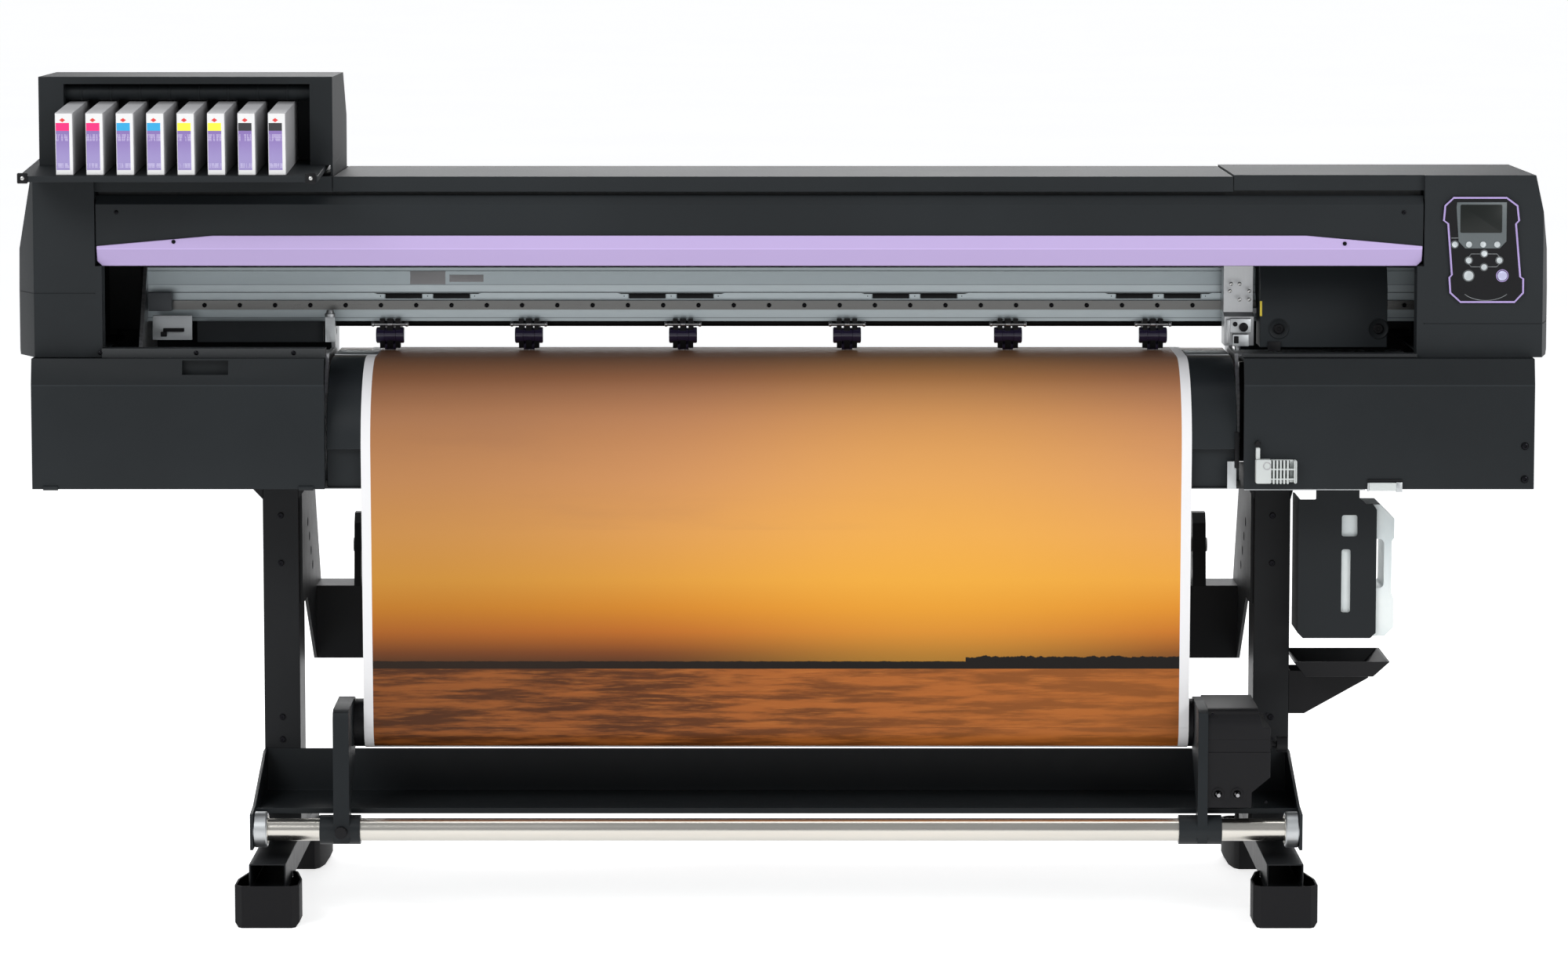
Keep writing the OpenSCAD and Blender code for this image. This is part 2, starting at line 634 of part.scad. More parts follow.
module pinch_wheels() color([0.16, 0.14, 0.2])
    for (i = [0:len(pinch_at) - 1]) {
        rod_x([pinch_x(i) - pinch_wheel_w / 2, pinch_x(i) + pinch_wheel_w / 2], feed_y, pinch_z, pinch_r);
        rod_x([pinch_x(i) - 17, pinch_x(i) + 17], feed_y, pinch_z, pinch_pin_r);
    }

module media_web() color([0.82, 0.55, 0.25]) {
    rf = front_guide_r + media_gap;
    rr = rear_guide_r + media_gap;
    front_dir = tangent(front_arc, rf, [takeup_y, takeup_z], takeup_r + media_gap, -1);
    rear_dir = tangent(rear_arc, rr, [supply_y, supply_z], supply_r + media_gap, 1);
    front_end = 360 + atan2(front_dir[1], front_dir[0]);
    path = concat([[supply_y, supply_z] + (supply_r + media_gap) * rear_dir],
        arc(rear_arc, rr, atan2(rear_dir[1], rear_dir[0]), 90),
        arc(front_arc, rf, 90, front_end > 360 ? front_end - 360 : front_end),
        [[takeup_y, takeup_z] + (takeup_r + media_gap) * front_dir]);
    along_x(ml, mr) polygon(strip(path, -media_t));
}

// ---- Y bar, rail and carriage ----
module y_bar() color([0.6, 0.63, 0.65])
    difference() {
        along_x(bar_l, bar_r) difference() {
            translate([bar_y, bar_z]) square([bar_d, bar_h]);
            translate([bar_y + bar_wall + 5, bar_z + bar_wall]) square([bar_d - 2 * bar_wall - 5, bar_h - 2 * bar_wall]);
            translate([bar_y - 1, rail_z]) square([rail_seat + 1, rail_h]);
            translate([bar_y - 1, rail_z + rail_h + 13]) square([5, 13]);
            translate([bar_y - 1, bar_z + bar_h - 6]) square([4, 7]);
        }
        for (i = [0:3]) for (s = [-1, 1]) {
            x = mid - 586 + i * 409 * media_w / 1358 + s * 40.5;
            block([x - 32, x + 32], [bar_y - 1, bar_y + 3], [rail_z + rail_h + 3.5, rail_z + rail_h + 12]);
        }
    }

module linear_rail() color([0.36, 0.36, 0.35])
    difference() {
        start = bar_l + 17;
        stop = bar_r - 20;
        along_x(start, stop) translate([rail_y, rail_z]) square([rail_out + rail_seat, rail_h]);
        for (x = [start + 20:rail_pitch:stop - 10])
            rod_y([rail_y - 1, rail_y + 6], x, rail_z + rail_h / 2, 4);
    }

module carriage_block() color([0.3, 0.31, 0.32])
    difference() {
        union() {
            block([carriage_x + 6, carriage_x + carriage_w - 6], [carriage_front + 6, carriage_back],
                [carriage_low + 4, carriage_fold - 11]);
            block([carriage_x + 16, carriage_x + carriage_w - 16], [carriage_back - 1, block_back],
                [block_low, block_high]);
            // Arm that holds the cutter unit
            block([carriage_x - cutter_gap, carriage_x + 17], [carriage_back + 2, block_back],
                [block_low, block_low + 8]);
        }
        block([carriage_x - cutter_w, carriage_x + carriage_w], [rail_y - rail_run, block_back + 1],
            [rail_z - rail_run, rail_z + rail_h + rail_run]);
    }

module carriage_cover() color([0.16, 0.17, 0.18]) {
    side = [[carriage_front, carriage_low], [carriage_back, carriage_low], [carriage_back, block_low + 8],
        [block_back - 4, block_high + 2], [block_back - 4, carriage_top], [carriage_front + 20, carriage_top],
        [carriage_front, carriage_fold]];
    difference() {
        along_x(carriage_x, carriage_x + carriage_w) polygon(side);
        along_x(carriage_x + wall, carriage_x + carriage_w - wall) polygon([
            [carriage_front + wall, carriage_low - 1], [block_back, carriage_low - 1],
            [block_back, carriage_top - wall], [carriage_front + 22, carriage_top - wall],
            [carriage_front + wall, carriage_fold - 1]]);
    }
}

module cutter_unit() color([0.55, 0.56, 0.57]) {
    along_x(cutter_x, cutter_x + cutter_w) polygon([[-40, carriage_low + 1], [carriage_back, carriage_low + 1],
        [carriage_back, block_low], [block_back, block_low], [block_back, rail_z - rail_run],
        [rail_y - rail_run, rail_z - rail_run], [rail_y - rail_run, rail_z + rail_h + rail_run],
        [block_back, rail_z + rail_h + rail_run], [block_back, block_high], [27, block_high],
        [27, carriage_top - 6], [-20, carriage_top - 6], [-20, carriage_low + 55], [-40, carriage_low + 50]]);
    rod_z([carriage_low - 9, carriage_low + 2], cutter_x + cutter_w / 2, -12, 5);
}

// ---- Covers ----
// Solid of the left side cover, shrunk by t, with its outer end at x = 0; w is its width, and c is where
// its front meets its side
module side_solid(w, c, top, t) intersection() {
    along_z(sill + t, top - t) polygon(inset([[c, front_y], [w, front_y], [w, rear_wall], [44, rear_wall],
        [14, rear_wall - 40], [0, 60], [0, -40], [16, front_y + 62]], t));
    along_y(front_y - 1, rear_wall + 1) polygon(inset([[0, sill - 1], [w, sill - 1], [w, top], [side_bow, top],
        [0, sill + 102]], t));
    along_x(-1, w + 1) polygon(inset([[front_y, sill - 1], [rear_wall, sill - 1], [rear_wall, top - 66],
        [top_rear, top], [front_y, top]], t));
}

module side_shell(w, c, top, reveal) {
    difference() {
        side_solid(w, c, top, 0);
        side_solid(w, c, top, wall);
        block([w - wall - 1, w + 1], [return_y, rear_wall - wall], [sill + wall, top - wall]);
        rod_x([w - wall - 1, w + 1], hinge_y, hinge_z, hinge_pin_r + fit);
        // Reveal between the lower and the upper side cover
        difference() {
            block([-1, w + 1], [front_y - 1, rear_wall + 1], [top - reveal, top - reveal + 1.5]);
            side_solid(w, c, top, 1);
        }
    }
    // Column beside the front opening
    block([w, w + column_w], [front_y, return_y + 20], [sill, trim_low_z - 3]);
    // Lower side wall
    block([lower_wall_in, lower_wall_in + wall], [24 - lower_front, rear_wall - wall], [zb + tray_t, sill]);
}

// Top, front skirt and rear slope, from x0 to x1
module upper_shell(x0, x1, top) along_x(x0, x1) polygon(strip([[top_front, top - skirt_h], [top_front, top],
    [top_rear, top], [rear_wall, top - 66], [rear_wall, top - 96]], -wall));

module left_cover() color([0.17, 0.18, 0.19]) {
    translate([xl, 0, 0]) side_shell(left_cover_w, left_corner, z_top, left_reveal);
    upper_shell(xl + left_cover_w, left_seam - seam / 2, z_top);
}

module right_cover() color([0.17, 0.18, 0.19]) {
    difference() {
        mirror([1, 0, 0]) translate([-xr, 0, 0]) side_shell(right_cover_w, right_corner, z_top + right_lift, right_reveal);
        // Slot in its floor for the upright that carries the Y bar
        block([bar_r - 1, bar_r + bearing_t + 1], [-100, rear_wall - wall - 1], [sill - 1, sill + wall + 1]);
    }
    upper_shell(right_seam + seam / 2, xr - right_cover_w, z_top + right_lift);
}

module top_cover() color([0.17, 0.18, 0.19]) upper_shell(left_seam + seam / 2, right_seam - seam / 2, z_top);

module front_cover() color([0.13, 0.14, 0.15]) {
    x = [xl + left_cover_w + 2, xr - right_cover_w - 2];
    rod_x(x, hinge_y, hinge_z, hinge_r);
    rod_x([x[0] - 6, x[1] + 6], hinge_y, hinge_z, hinge_pin_r);
    along_x(x[0], x[1]) polygon(strip([[hinge_y - 2, hinge_z + 4], [plate_top_y, plate_fold_z],
        [plate_low_y, plate_low_z]], wall));
}

module cover_trim() color([0.7, 0.63, 0.8]) {
    x = [xl + left_cover_w + 3, xr - right_cover_w - 3];
    intersection() {
        along_x(x[0], x[1]) polygon(strip([[plate_low_y - 1.2, trim_top_z + 1], [plate_low_y - 0.3, plate_low_z],
            [hinge_y - 2, trim_low_z], [hinge_y + 12, trim_low_z]], -wall));
        along_y(front_y - 9, 0) polygon([[x[0] + 8, trim_low_z - wall], [x[1] - 8, trim_low_z - wall],
            [x[1], trim_low_z + 5], [x[1], trim_end_z], [x[1] - trim_slope_l, trim_top_z], [x[0] + trim_slope_l, trim_top_z],
            [x[0], trim_end_z], [x[0], trim_low_z + 5]]);
    }
}

// Side view of a lower front cover, as an open path from its bottom edge to its top edge
lower_path = [[15 - lower_front, zb + tray_t], [-lower_front, zb + tray_t], [-lower_front, sill - 41],
    [10 - lower_front, sill], [24 - lower_front, sill]];

module left_lower_cover() color([0.17, 0.18, 0.19]) {
    x = [xl + lower_wall_in, gl - 2];
    pocket = [xl + 291, xl + 366];
    difference() {
        along_x(x[0], x[1]) polygon(strip(lower_path, -wall));
        block(pocket, [-lower_front - 1, 20 - lower_front], [sill - 26, sill - 3]);
    }
    for (a = [x[0], x[1] - wall]) block([a, a + wall], [wall - lower_front, 22 - lower_front], [zb + tray_t, sill - 45]);
    for (a = [x[0] + 18, x[1] - 42]) rod_x([a, a + 24], -lower_front, zb + 4, 4);
    // Finger pocket behind the pull
    difference() {
        block([pocket[0] - wall, pocket[1] + wall], [14 - lower_front, 26 - lower_front], [sill - 32, sill - wall]);
        block(pocket, [10 - lower_front, 23 - lower_front], [sill - 28, sill - wall + 1]);
    }
}

module right_lower_cover() color([0.17, 0.18, 0.19]) {
    x = xr - lower_wall_in;
    difference() {
        along_x(gr + 9, x) polygon(strip(concat(lower_path, [[return_y, sill]]), -wall));
        block([x - wall, x + 1], [24 - lower_front, return_y + 1], [sill - wall - 1, sill + 1]);
    }
    block([x - wall, x], [wall - lower_front, 22 - lower_front], [zb + tray_t, sill - 45]);
}

module rear_cover() color([0.15, 0.16, 0.17]) {
    y = [rear_wall - wall, rear_wall];
    block([xl + left_cover_w + seam, xr - right_cover_w - seam], y, [bar_z, z_top - 98]);
    block([xl + lower_wall_in, gl - 22], y, [zb + tray_t, sill - seam]);
    block([gr + 36, xr - lower_wall_in], y, [zb + tray_t, sill - seam]);
    for (x = [[xl + left_cover_w + seam, gl - 22], [gr + 36, xr - right_cover_w - seam]])
        block(x, y, [sill - 2, bar_z + 1]);
}

// Octagon of the panel, with a step at its shoulders
panel_outline = [[-37, -87], [52, -87], [67, -71], [67, -47], [62, -44], [54, 43], [59, 48], [56, 73], [37, 87],
    [-50, 87], [-65, 73], [-67, 48], [-60, 43], [-53, -41], [-57, -45], [-55, -71]];

module control_panel() color([0.66, 0.58, 0.76])
    difference() {
        along_y(front_y - bezel_t, front_y) translate([panel_x, panel_z]) polygon(panel_outline);
        block([panel_x - 43, panel_x + 34], [front_y - bezel_t - 1, front_y - bezel_t + 1.5],
            [panel_z + 28, panel_z + 74]);
        for (k = [0:len(KEYS) - 1])
            rod_y([front_y - bezel_t - 1, front_y + 1], key_at(k)[0], key_at(k)[1], key_at(k)[2] + clear);
    }

// Place and radius of key k
function key_at(k) = let (p = k < 4 ? [key_row[k], key_row_z]
        : k == 4 ? key_cross + [0, 11] : k == 5 ? key_cross + [-25, 0] : k == 6 ? key_cross + [25, 0]
        : k == 7 ? key_cross + [0, -11]
        : k == 8 ? [-24, -42] : [31, -42])
    [panel_x + p[0], panel_z + p[1], k < 8 ? key_r : big_key_r];

module key(k) color(k < 9 ? [0.2, 0.2, 0.22] : [0.6, 0.5, 0.72])
    rod_y([front_y - bezel_t - 2.5, front_y - key_travel - 0.5], key_at(k)[0], key_at(k)[1], key_at(k)[2]);

// ---- Cartridge bay ----
// Height of the sloping shelf's top at depth y
function shelf_at(y) = shelf_z + (y - shelf_y) * tan(bay_tilt);

module cartridge_box() color([0.16, 0.17, 0.18]) {
    side = [[box_front, shelf_at(box_front)], [box_rear, shelf_at(box_rear)], [box_rear, box_top - 73],
        [box_top_rear, box_top], [box_front, box_top]];
    difference() {
        along_x(bx0, bx1) polygon(side);
        along_x(bx0 + box_wall, bx1 - box_wall) polygon(inset(side, box_wall));
        block([bay_l - 5, bay_r + 5], [box_front - 1, box_front + 6], [shelf_z, box_top - 12]);
        in_bay() block([bay_l - 4, bay_r + 4], [100, slot_front], [-5, 30]);
        in_bay() block([bay_l - 4, bay_r + 4], [slot_front - 1, slot_back], [-5, 5]);
    }
    in_bay() difference() {
        block([bay_l - 12, bay_r + 12], [slot_front, slot_back + 5], [0, 112]);
        for (i = [0:cartridges - 1])
            block([ink_x(i) - slot_side, ink_x(i) + cartridge_w + slot_side], [slot_front - 1, slot_back],
                [-1, cartridge_h + 1.5]);
    }
    // Side walls of the mouth, the guard bar over it, and the bar's ribs
    for (x = [[bay_l - 9, bay_l - 5], [bay_r + 5, bay_r + 9]])
        along_x(x[0], x[1]) polygon([[box_front, shelf_at(box_front)], [-105, shelf_at(-105)], [-105, box_top - 2],
            [box_front, box_top - 2]]);
    along_x(bx1 - box_wall, bx1) polygon([[box_front + 2, z_top], [box_rear, z_top], [box_rear, shelf_at(box_rear)],
        [box_front + 2, shelf_at(box_front + 2)]]);
    rod_x([bay_l - 7, bay_r + 7], -160, box_top - 26, 13);
    for (i = [0:cartridges - 1]) rod_x([bay_l + 20 + i * 48, bay_l + 23 + i * 48], -160, box_top - 26, 14);
}

module cartridge_shelf() color([0.2, 0.21, 0.22]) {
    side = [[shelf_y, shelf_at(shelf_y)], [shelf_y, shelf_at(shelf_y) - shelf_t],
        [box_rear, shelf_at(box_rear) - shelf_t], [box_rear, shelf_at(box_rear)]];
    along_x(bx0 - 14, bx1 - 12) polygon(side);
    for (x = [bx0, bx1 - 40])
        along_x(x, x + 8) polygon([[top_front + 8, z_top], [box_rear, z_top], [box_rear, shelf_at(box_rear) - shelf_t],
            [top_front + 8, shelf_at(top_front + 8) - shelf_t]]);
}

module cartridge(i) color([0.72, 0.72, 0.73])
    in_bay() block([ink_x(i), ink_x(i) + cartridge_w], [cartridge_u, cartridge_u + cartridge_l], [clear, cartridge_h]);

// ---- Waste bottle and accessory tray, on the right of the stand ----
module waste_holder() color([0.17, 0.18, 0.19]) {
    x0 = waste_x;
    x1 = waste_x + 130;
    difference() {
        along_y(waste_y, waste_y + wall) polygon([[x0 + 9, waste_low], [x1 - 9, waste_low], [x1, waste_low + 9],
            [x1, zb - 48], [x1 - 7, zb - 38], [x1 - 18, zb - 38], [x1 - 29, zb - 28], [x1 - 29, zb], [x0 + 29, zb],
            [x0 + 29, zb - 31], [x0, zb - 31], [x0, waste_low + 9]]);
        along_y(waste_y - 1, waste_y + wall + 1) {
            rounded([x0 + 72, zb - 93], [x0 + 98, zb - 57], 4);
            rounded([x0 + 72, zb - 220], [x0 + 87, zb - 114], 4);
        }
    }
    block([x0 + 9, x1 - 9], [waste_y, 8], [waste_low, waste_low + wall]);
    block([x0, x0 + wall], [waste_y, 8], [waste_low + 9, zb - 31]);
    block([x0 + 29, x1 - 29], [waste_y, waste_y + 40], [zb - wall, zb]);
}

module waste_bottle() color([0.86, 0.88, 0.88]) {
    x0 = waste_x + 10;
    x1 = waste_x + 160;
    z0 = waste_low + wall + clear;
    difference() {
        along_y(waste_y + wall + 4, 0) polygon([[x0 + 6, z0], [x1 - 14, z0], [x1, z0 + 14], [x1, z0 + 62],
            [x1 - 4, z0 + 72], [x1 - 4, z0 + 158], [x1, z0 + 164], [x1, z0 + 196], [x1 - 24, z0 + 220], [x0 + 30, z0 + 220],
            [x0, z0 + 200], [x0, z0 + 6]]);
        along_y(waste_y, 10) rounded([x1 - 42, z0 + 80], [x1 - 17, z0 + 162], 8);
    }
    rod_z([z0 + 219, z0 + 231], x0 + 60, waste_y / 2, 18);
}

module accessory_tray() color([0.1, 0.1, 0.1]) {
    x0 = tray_x[0];
    x1 = tray_x[1];
    difference() {
        intersection() {
            along_y(-115, 60) polygon([[x0 + 22, tray_z[0]], [x1 - 26, tray_z[0]], [x1, tray_z[1]], [x0, tray_z[1]]]);
            along_x(x0, x1) polygon([[-100, tray_z[0]], [45, tray_z[0]], [60, tray_z[1]], [-115, tray_z[1]]]);
        }
        intersection() {
            along_y(-116, 61) polygon([[x0 + 26, tray_z[0] + wall], [x1 - 30, tray_z[0] + wall], [x1 - 3, tray_z[1] + 1],
                [x0 + 3, tray_z[1] + 1]]);
            along_x(x0, x1) polygon([[-97, tray_z[0] + wall], [42, tray_z[0] + wall], [57, tray_z[1] + 1],
                [-112, tray_z[1] + 1]]);
        }
    }
    block([x0, x0 + wall], [post_front, 45], [zb - 400, tray_z[0]]);
    for (y = [post_front, 42]) along_y(y, y + wall) polygon([[x0, zb - 400], [x0 + 26, zb - 400], [x0 + 133, tray_z[0] - 12],
        [x0 + 133, tray_z[0]], [x0, tray_z[0]]]);
}

stand_sides();
foot_boxes();
lower_beam();
rear_beam();
takeup_tube();
takeup_right_arm();
motor_box();
takeup_cable();
accessory_tray();
waste_holder();
waste_bottle();
drive_hub();
takeup_roll();
takeup_left_arm();
idle_hub();
clamp_knob();
direction_switch();
mode_switch();
supply_roll();
main_frame();
platen();
front_guide();
y_bar();
linear_rail();
feed_roller();
pinch_arms();
pinch_wheels();
media_web();
carriage_block();
carriage_cover();
cutter_unit();
left_cover();
right_cover();
top_cover();
front_cover();
cover_trim();
left_lower_cover();
right_lower_cover();
rear_cover();
control_panel();
cartridge_box();
cartridge_shelf();
for (k = [0:len(KEYS) - 1]) key(k);
for (i = [0:cartridges - 1]) cartridge(i);
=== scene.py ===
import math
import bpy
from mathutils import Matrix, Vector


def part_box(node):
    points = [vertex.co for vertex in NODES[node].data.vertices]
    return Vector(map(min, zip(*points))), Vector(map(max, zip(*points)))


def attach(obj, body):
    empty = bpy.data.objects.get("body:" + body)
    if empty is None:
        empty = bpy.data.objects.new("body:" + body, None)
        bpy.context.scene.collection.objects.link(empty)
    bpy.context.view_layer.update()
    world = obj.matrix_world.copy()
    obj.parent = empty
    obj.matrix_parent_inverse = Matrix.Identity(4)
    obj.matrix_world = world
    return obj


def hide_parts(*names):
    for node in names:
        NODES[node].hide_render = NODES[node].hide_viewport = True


bl_info = {
    "name": "Roll printer cutter",
    "version": (1, 0, 0),
    "blender": (4, 5, 0),
    "location": "3D View > Sidebar > Printer cutter",
    "description": "Builds the finishes and small fittings of a wide roll printer and cutter",
    "category": "Add Mesh",
}

import bmesh
import bpy
import numpy as np
from bpy.props import FloatProperty, FloatVectorProperty, IntProperty, PointerProperty

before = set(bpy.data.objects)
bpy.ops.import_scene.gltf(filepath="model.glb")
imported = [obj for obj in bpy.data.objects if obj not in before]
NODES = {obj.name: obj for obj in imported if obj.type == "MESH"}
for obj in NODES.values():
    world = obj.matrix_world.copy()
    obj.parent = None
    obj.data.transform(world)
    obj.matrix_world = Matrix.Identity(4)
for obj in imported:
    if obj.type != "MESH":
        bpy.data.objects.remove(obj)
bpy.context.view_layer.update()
MM = 0.001


def lo(node):
    """Lowest corner of a CAD node, as an array."""
    return np.array(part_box(node)[0])


def hi(node):
    """Highest corner of a CAD node, as an array."""
    return np.array(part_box(node)[1])


# Places that many pieces share, taken from the frame
FRONT = lo("right_cover")[1]  # front face of the side covers
LOWER_FRONT = lo("right_lower_cover")[1]  # front face of the lower covers
SILL = lo("right_cover")[2]  # underside of the side covers
TOP = hi("top_cover")[2]
RAIL_FRONT = lo("linear_rail")[1]
PLATEN_TOP = hi("platen")[2]
KEYS = ("key_menu", "key_function", "key_base", "key_setup", "key_up", "key_left", "key_right",
        "key_down", "key_enter", "key_pause")
CARTRIDGES = tuple(f"cartridge_{i}" for i in range(1, 9))
LABELS = ("magenta", "magenta", "cyan", "cyan", "yellow_ink", "yellow_ink", "black_ink", "black_ink")
INKS = {"magenta": (0.78, 0.012, 0.16), "cyan": (0.02, 0.32, 0.60), "yellow_ink": (0.84, 0.76, 0.04),
        "black_ink": (0.02, 0.02, 0.025)}
PINCH_AT = tuple(-659 + share * 1279 for share in (0, 0.182, 0.384, 0.599, 0.81, 1))  # arms along x, mm
DULL = {"Specular_IOR_Level": 0.16}  # covers reflect less than bare plastic
# The motor cable's route, in millimetres, from the motor box down and up into the shelf
CABLE = [(693 + x, y, z) for x, y, z in (
    (60, -150, 190), (60, -150, 181), (60, -149.5, 171), (60, -148.5, 160), (60.5, -147, 149),
    (61.5, -144.5, 138), (63, -140.5, 128), (65.5, -135, 119.5), (69, -128, 113), (73, -120, 109.5),
    (77, -112, 109.5), (80.5, -105, 113), (83.5, -99.5, 119), (85.5, -95.5, 127), (86.5, -93, 136),
    (87, -92, 146), (87, -92, 156), (87, -92, 165), (87, -92, 173))]


# ---------------------------------------------------------------- settings
def colour(name, description, default):
    return FloatVectorProperty(name=name, description=description, default=default, subtype="COLOR",
                               size=3, min=0, max=1)


def length(name, description, default):
    return FloatProperty(name=name, description=description, default=default, min=0, subtype="DISTANCE",
                         unit="LENGTH")


class PaintSettings(bpy.types.PropertyGroup):
    """Colours of the mouldings, paints and print"""

    cover: colour("Cover", "Charcoal of the moulded covers", (0.0135, 0.0160, 0.0178))
    panel: colour("Sheet panels", "Dark powder coat of the sheet metal panels", (0.0125, 0.0150, 0.0168))
    stand: colour("Stand", "Black powder coat of the stand", (0.0105, 0.0115, 0.0128))
    trim: colour("Trim", "Lilac of the front cover's trim bar", (0.42, 0.335, 0.57))
    sky_low: colour("Glow", "Brightest band of the printed sunset", (0.76, 0.34, 0.045))
    sky_high: colour("Upper sky", "Top of the printed sunset", (0.20, 0.115, 0.075))
    water: colour("Water", "Ripples at the foot of the print", (0.36, 0.105, 0.020))


class ShapeSettings(bpy.types.PropertyGroup):
    """Sizes of edges and screws"""

    cover_edge: length("Cover edge", "Radius along the edges of moulded covers", 1.2 * MM)
    steel_edge: length("Steel edge", "Radius along the edges of the stand", 2.0 * MM)
    screw: length("Screw", "Radius of a cover screw's head", 4.2 * MM)


class ViewSettings(bpy.types.PropertyGroup):
    """Camera and lights"""

    eye_height: length("Eye height", "Height of the camera above the floor", 1.691)
    distance: length("Distance", "From the camera to the machine's centre plane", 9.35)
    key_light: FloatProperty(name="Key light", description="Power of the large softbox", default=184,
                             min=0, unit="POWER")


# ---------------------------------------------------------------- shader maths
class Value:
    """A socket that can be used in sums, so that shader maths is written as Python expressions."""

    def __init__(self, finish, socket):
        self.finish, self.socket = finish, socket

    def maths(self, operation, *values):
        return self.finish.node("ShaderNodeMath", {"operation": operation}, list(values))

    def __add__(self, other):
        return self.maths("ADD", self, other)

    def __sub__(self, other):
        return self.maths("SUBTRACT", self, other)

    def __rsub__(self, other):
        return self.maths("SUBTRACT", other, self)

    def __mul__(self, other):
        return self.maths("MULTIPLY", self, other)

    def __truediv__(self, other):
        return self.maths("DIVIDE", self, other)

    def __gt__(self, other):
        return self.maths("GREATER_THAN", self, other)

    def __lt__(self, other):
        return self.maths("LESS_THAN", self, other)

    def __mod__(self, other):
        return self.maths("FLOORED_MODULO", self, other)

    def root(self):
        return self.maths("SQRT", self)

    __radd__, __rmul__ = __add__, __mul__

    def sine(self):
        return self.maths("SINE", self)

    def smooth(self, start, end):
        """0 below start and 1 above end, with a soft step between."""
        return self.finish.node("ShaderNodeMapRange", {"interpolation_type": "SMOOTHSTEP"},
                                {"Value": self, "From Min": start, "From Max": end})


class Finish:
    """One material: a node tree round a Principled shader."""

    def __init__(self, name, **fixed):
        self.material = bpy.data.materials.new(name)
        self.material.use_nodes = True
        self.tree = self.material.node_tree
        self.shader = self.tree.nodes["Principled BSDF"]
        for socket, value in fixed.items():
            self.shader.inputs[socket.replace("_", " ")].default_value = value

    def node(self, kind, settings=None, inputs=(), output=0):
        """Any node: settings are set first, and then its sockets get values or links."""
        made = self.tree.nodes.new(kind)
        for name, value in (settings or {}).items():
            if name == "stops":
                ramp = made.color_ramp
                for place, shade in value[2:]:
                    ramp.elements.new(place)
                for element, (place, shade) in zip(ramp.elements, sorted(value, key=lambda stop: stop[0])):
                    element.position, element.color = place, (*shade, 1)
            else:
                setattr(made, name, value)
        pairs = inputs.items() if isinstance(inputs, dict) else enumerate(inputs)
        for key, value in pairs:
            socket = made.inputs[key]
            if isinstance(value, Value):
                self.tree.links.new(value.socket, socket)
            elif socket.type == "RGBA":
                socket.default_value = (*value, 1)
            else:
                socket.default_value = value
        return Value(self, made.outputs[output])

    def place(self, scale=(1, 1, 1), centre=(0, 0, 0), turn=(0, 0, 0)):
        """Object coordinates in metres, centred, turned and scaled."""
        here = self.node("ShaderNodeTexCoord", output="Object")
        return self.node("ShaderNodeMapping", {"vector_type": "POINT"},
                         {"Vector": here, "Location": tuple(-c * s for c, s in zip(centre, scale)),
                          "Rotation": turn, "Scale": scale})

    def axes(self, vector=None):
        """The three coordinates of a vector, as values."""
        vector = vector or self.node("ShaderNodeTexCoord", output="Object")
        split = self.node("ShaderNodeSeparateXYZ", inputs=[vector])
        return [Value(self, split.socket.node.outputs[i]) for i in range(3)]

    def noise(self, scale, detail=2.0, roughness=0.5, stretch=(1, 1, 1)):
        """Smooth noise from 0 to 1; scale is in lumps per metre."""
        return self.node("ShaderNodeTexNoise", {"noise_dimensions": "3D"},
                         {"Vector": self.place(stretch), "Scale": scale, "Detail": detail,
                          "Roughness": roughness})

    def cells(self, scale, stretch=(1, 1, 1), feature="F1"):
        """Distance to the nearest of many scattered points."""
        return self.node("ShaderNodeTexVoronoi", {"feature": feature},
                         {"Vector": self.place(stretch), "Scale": scale})

    def mix(self, mask, first, second):
        """The first colour where mask is 0 and the second where it is 1."""
        made = self.tree.nodes.new("ShaderNodeMix")
        made.data_type, made.clamp_factor = "RGBA", True
        for socket, value in ((0, mask), (6, first), (7, second)):
            if isinstance(value, Value):
                self.tree.links.new(value.socket, made.inputs[socket])
            else:
                made.inputs[socket].default_value = value if socket == 0 else (*value, 1)
        return Value(self, made.outputs[2])

    def set(self, socket, value):
        if isinstance(value, Value):
            self.tree.links.new(value.socket, self.shader.inputs[socket])
        else:
            self.shader.inputs[socket].default_value = (*value, 1) if socket == "Base Color" else value
        return self

    def bump(self, height, depth, strength=1.0):
        """Relief from a height of 0 to 1, depth in metres."""
        made = self.node("ShaderNodeBump", None, {"Height": height, "Distance": depth, "Strength": strength})
        self.tree.links.new(made.socket, self.shader.inputs["Normal"])
        return self


def tint(base, factor):
    """A colour made lighter or darker."""
    return tuple(min(1.0, c * factor) for c in base)


def moulded(name, base, grain=1400, rough=0.5, relief=0.00012, wear=1.22, **fixed):
    """Moulded plastic: fine leather grain, cloudy colour and patchy gloss."""
    f = Finish(name, **fixed)
    clouds = f.noise(3.2, 3)
    grain_height = f.noise(grain, 2, 0.6)
    dust = f.noise(38, 5, 0.7).smooth(0.52, 0.78)
    f.set("Base Color", f.mix(dust * 0.35, f.mix(clouds.smooth(0.3, 0.7), tint(base, 0.9), tint(base, 1.08)),
                              tint(base, wear)))
    f.set("Roughness", rough - 0.05 + clouds * 0.08 + grain_height * 0.06)
    return f.bump(grain_height, relief)


def powder_coat(name, base, rough=0.42, relief=0.00006):
    """Powder coat on sheet steel: orange peel, with a slightly rubbed tone."""
    f = Finish(name, **DULL)
    peel = f.noise(520, 2, 0.5)
    clouds = f.noise(2.4, 3)
    f.set("Base Color", f.mix(clouds.smooth(0.35, 0.7), tint(base, 0.88), tint(base, 1.12)))
    f.set("Roughness", rough + (peel - 0.5) * 0.12 + (f.noise(30, 4) - 0.5) * 0.1)
    return f.bump(peel, relief)


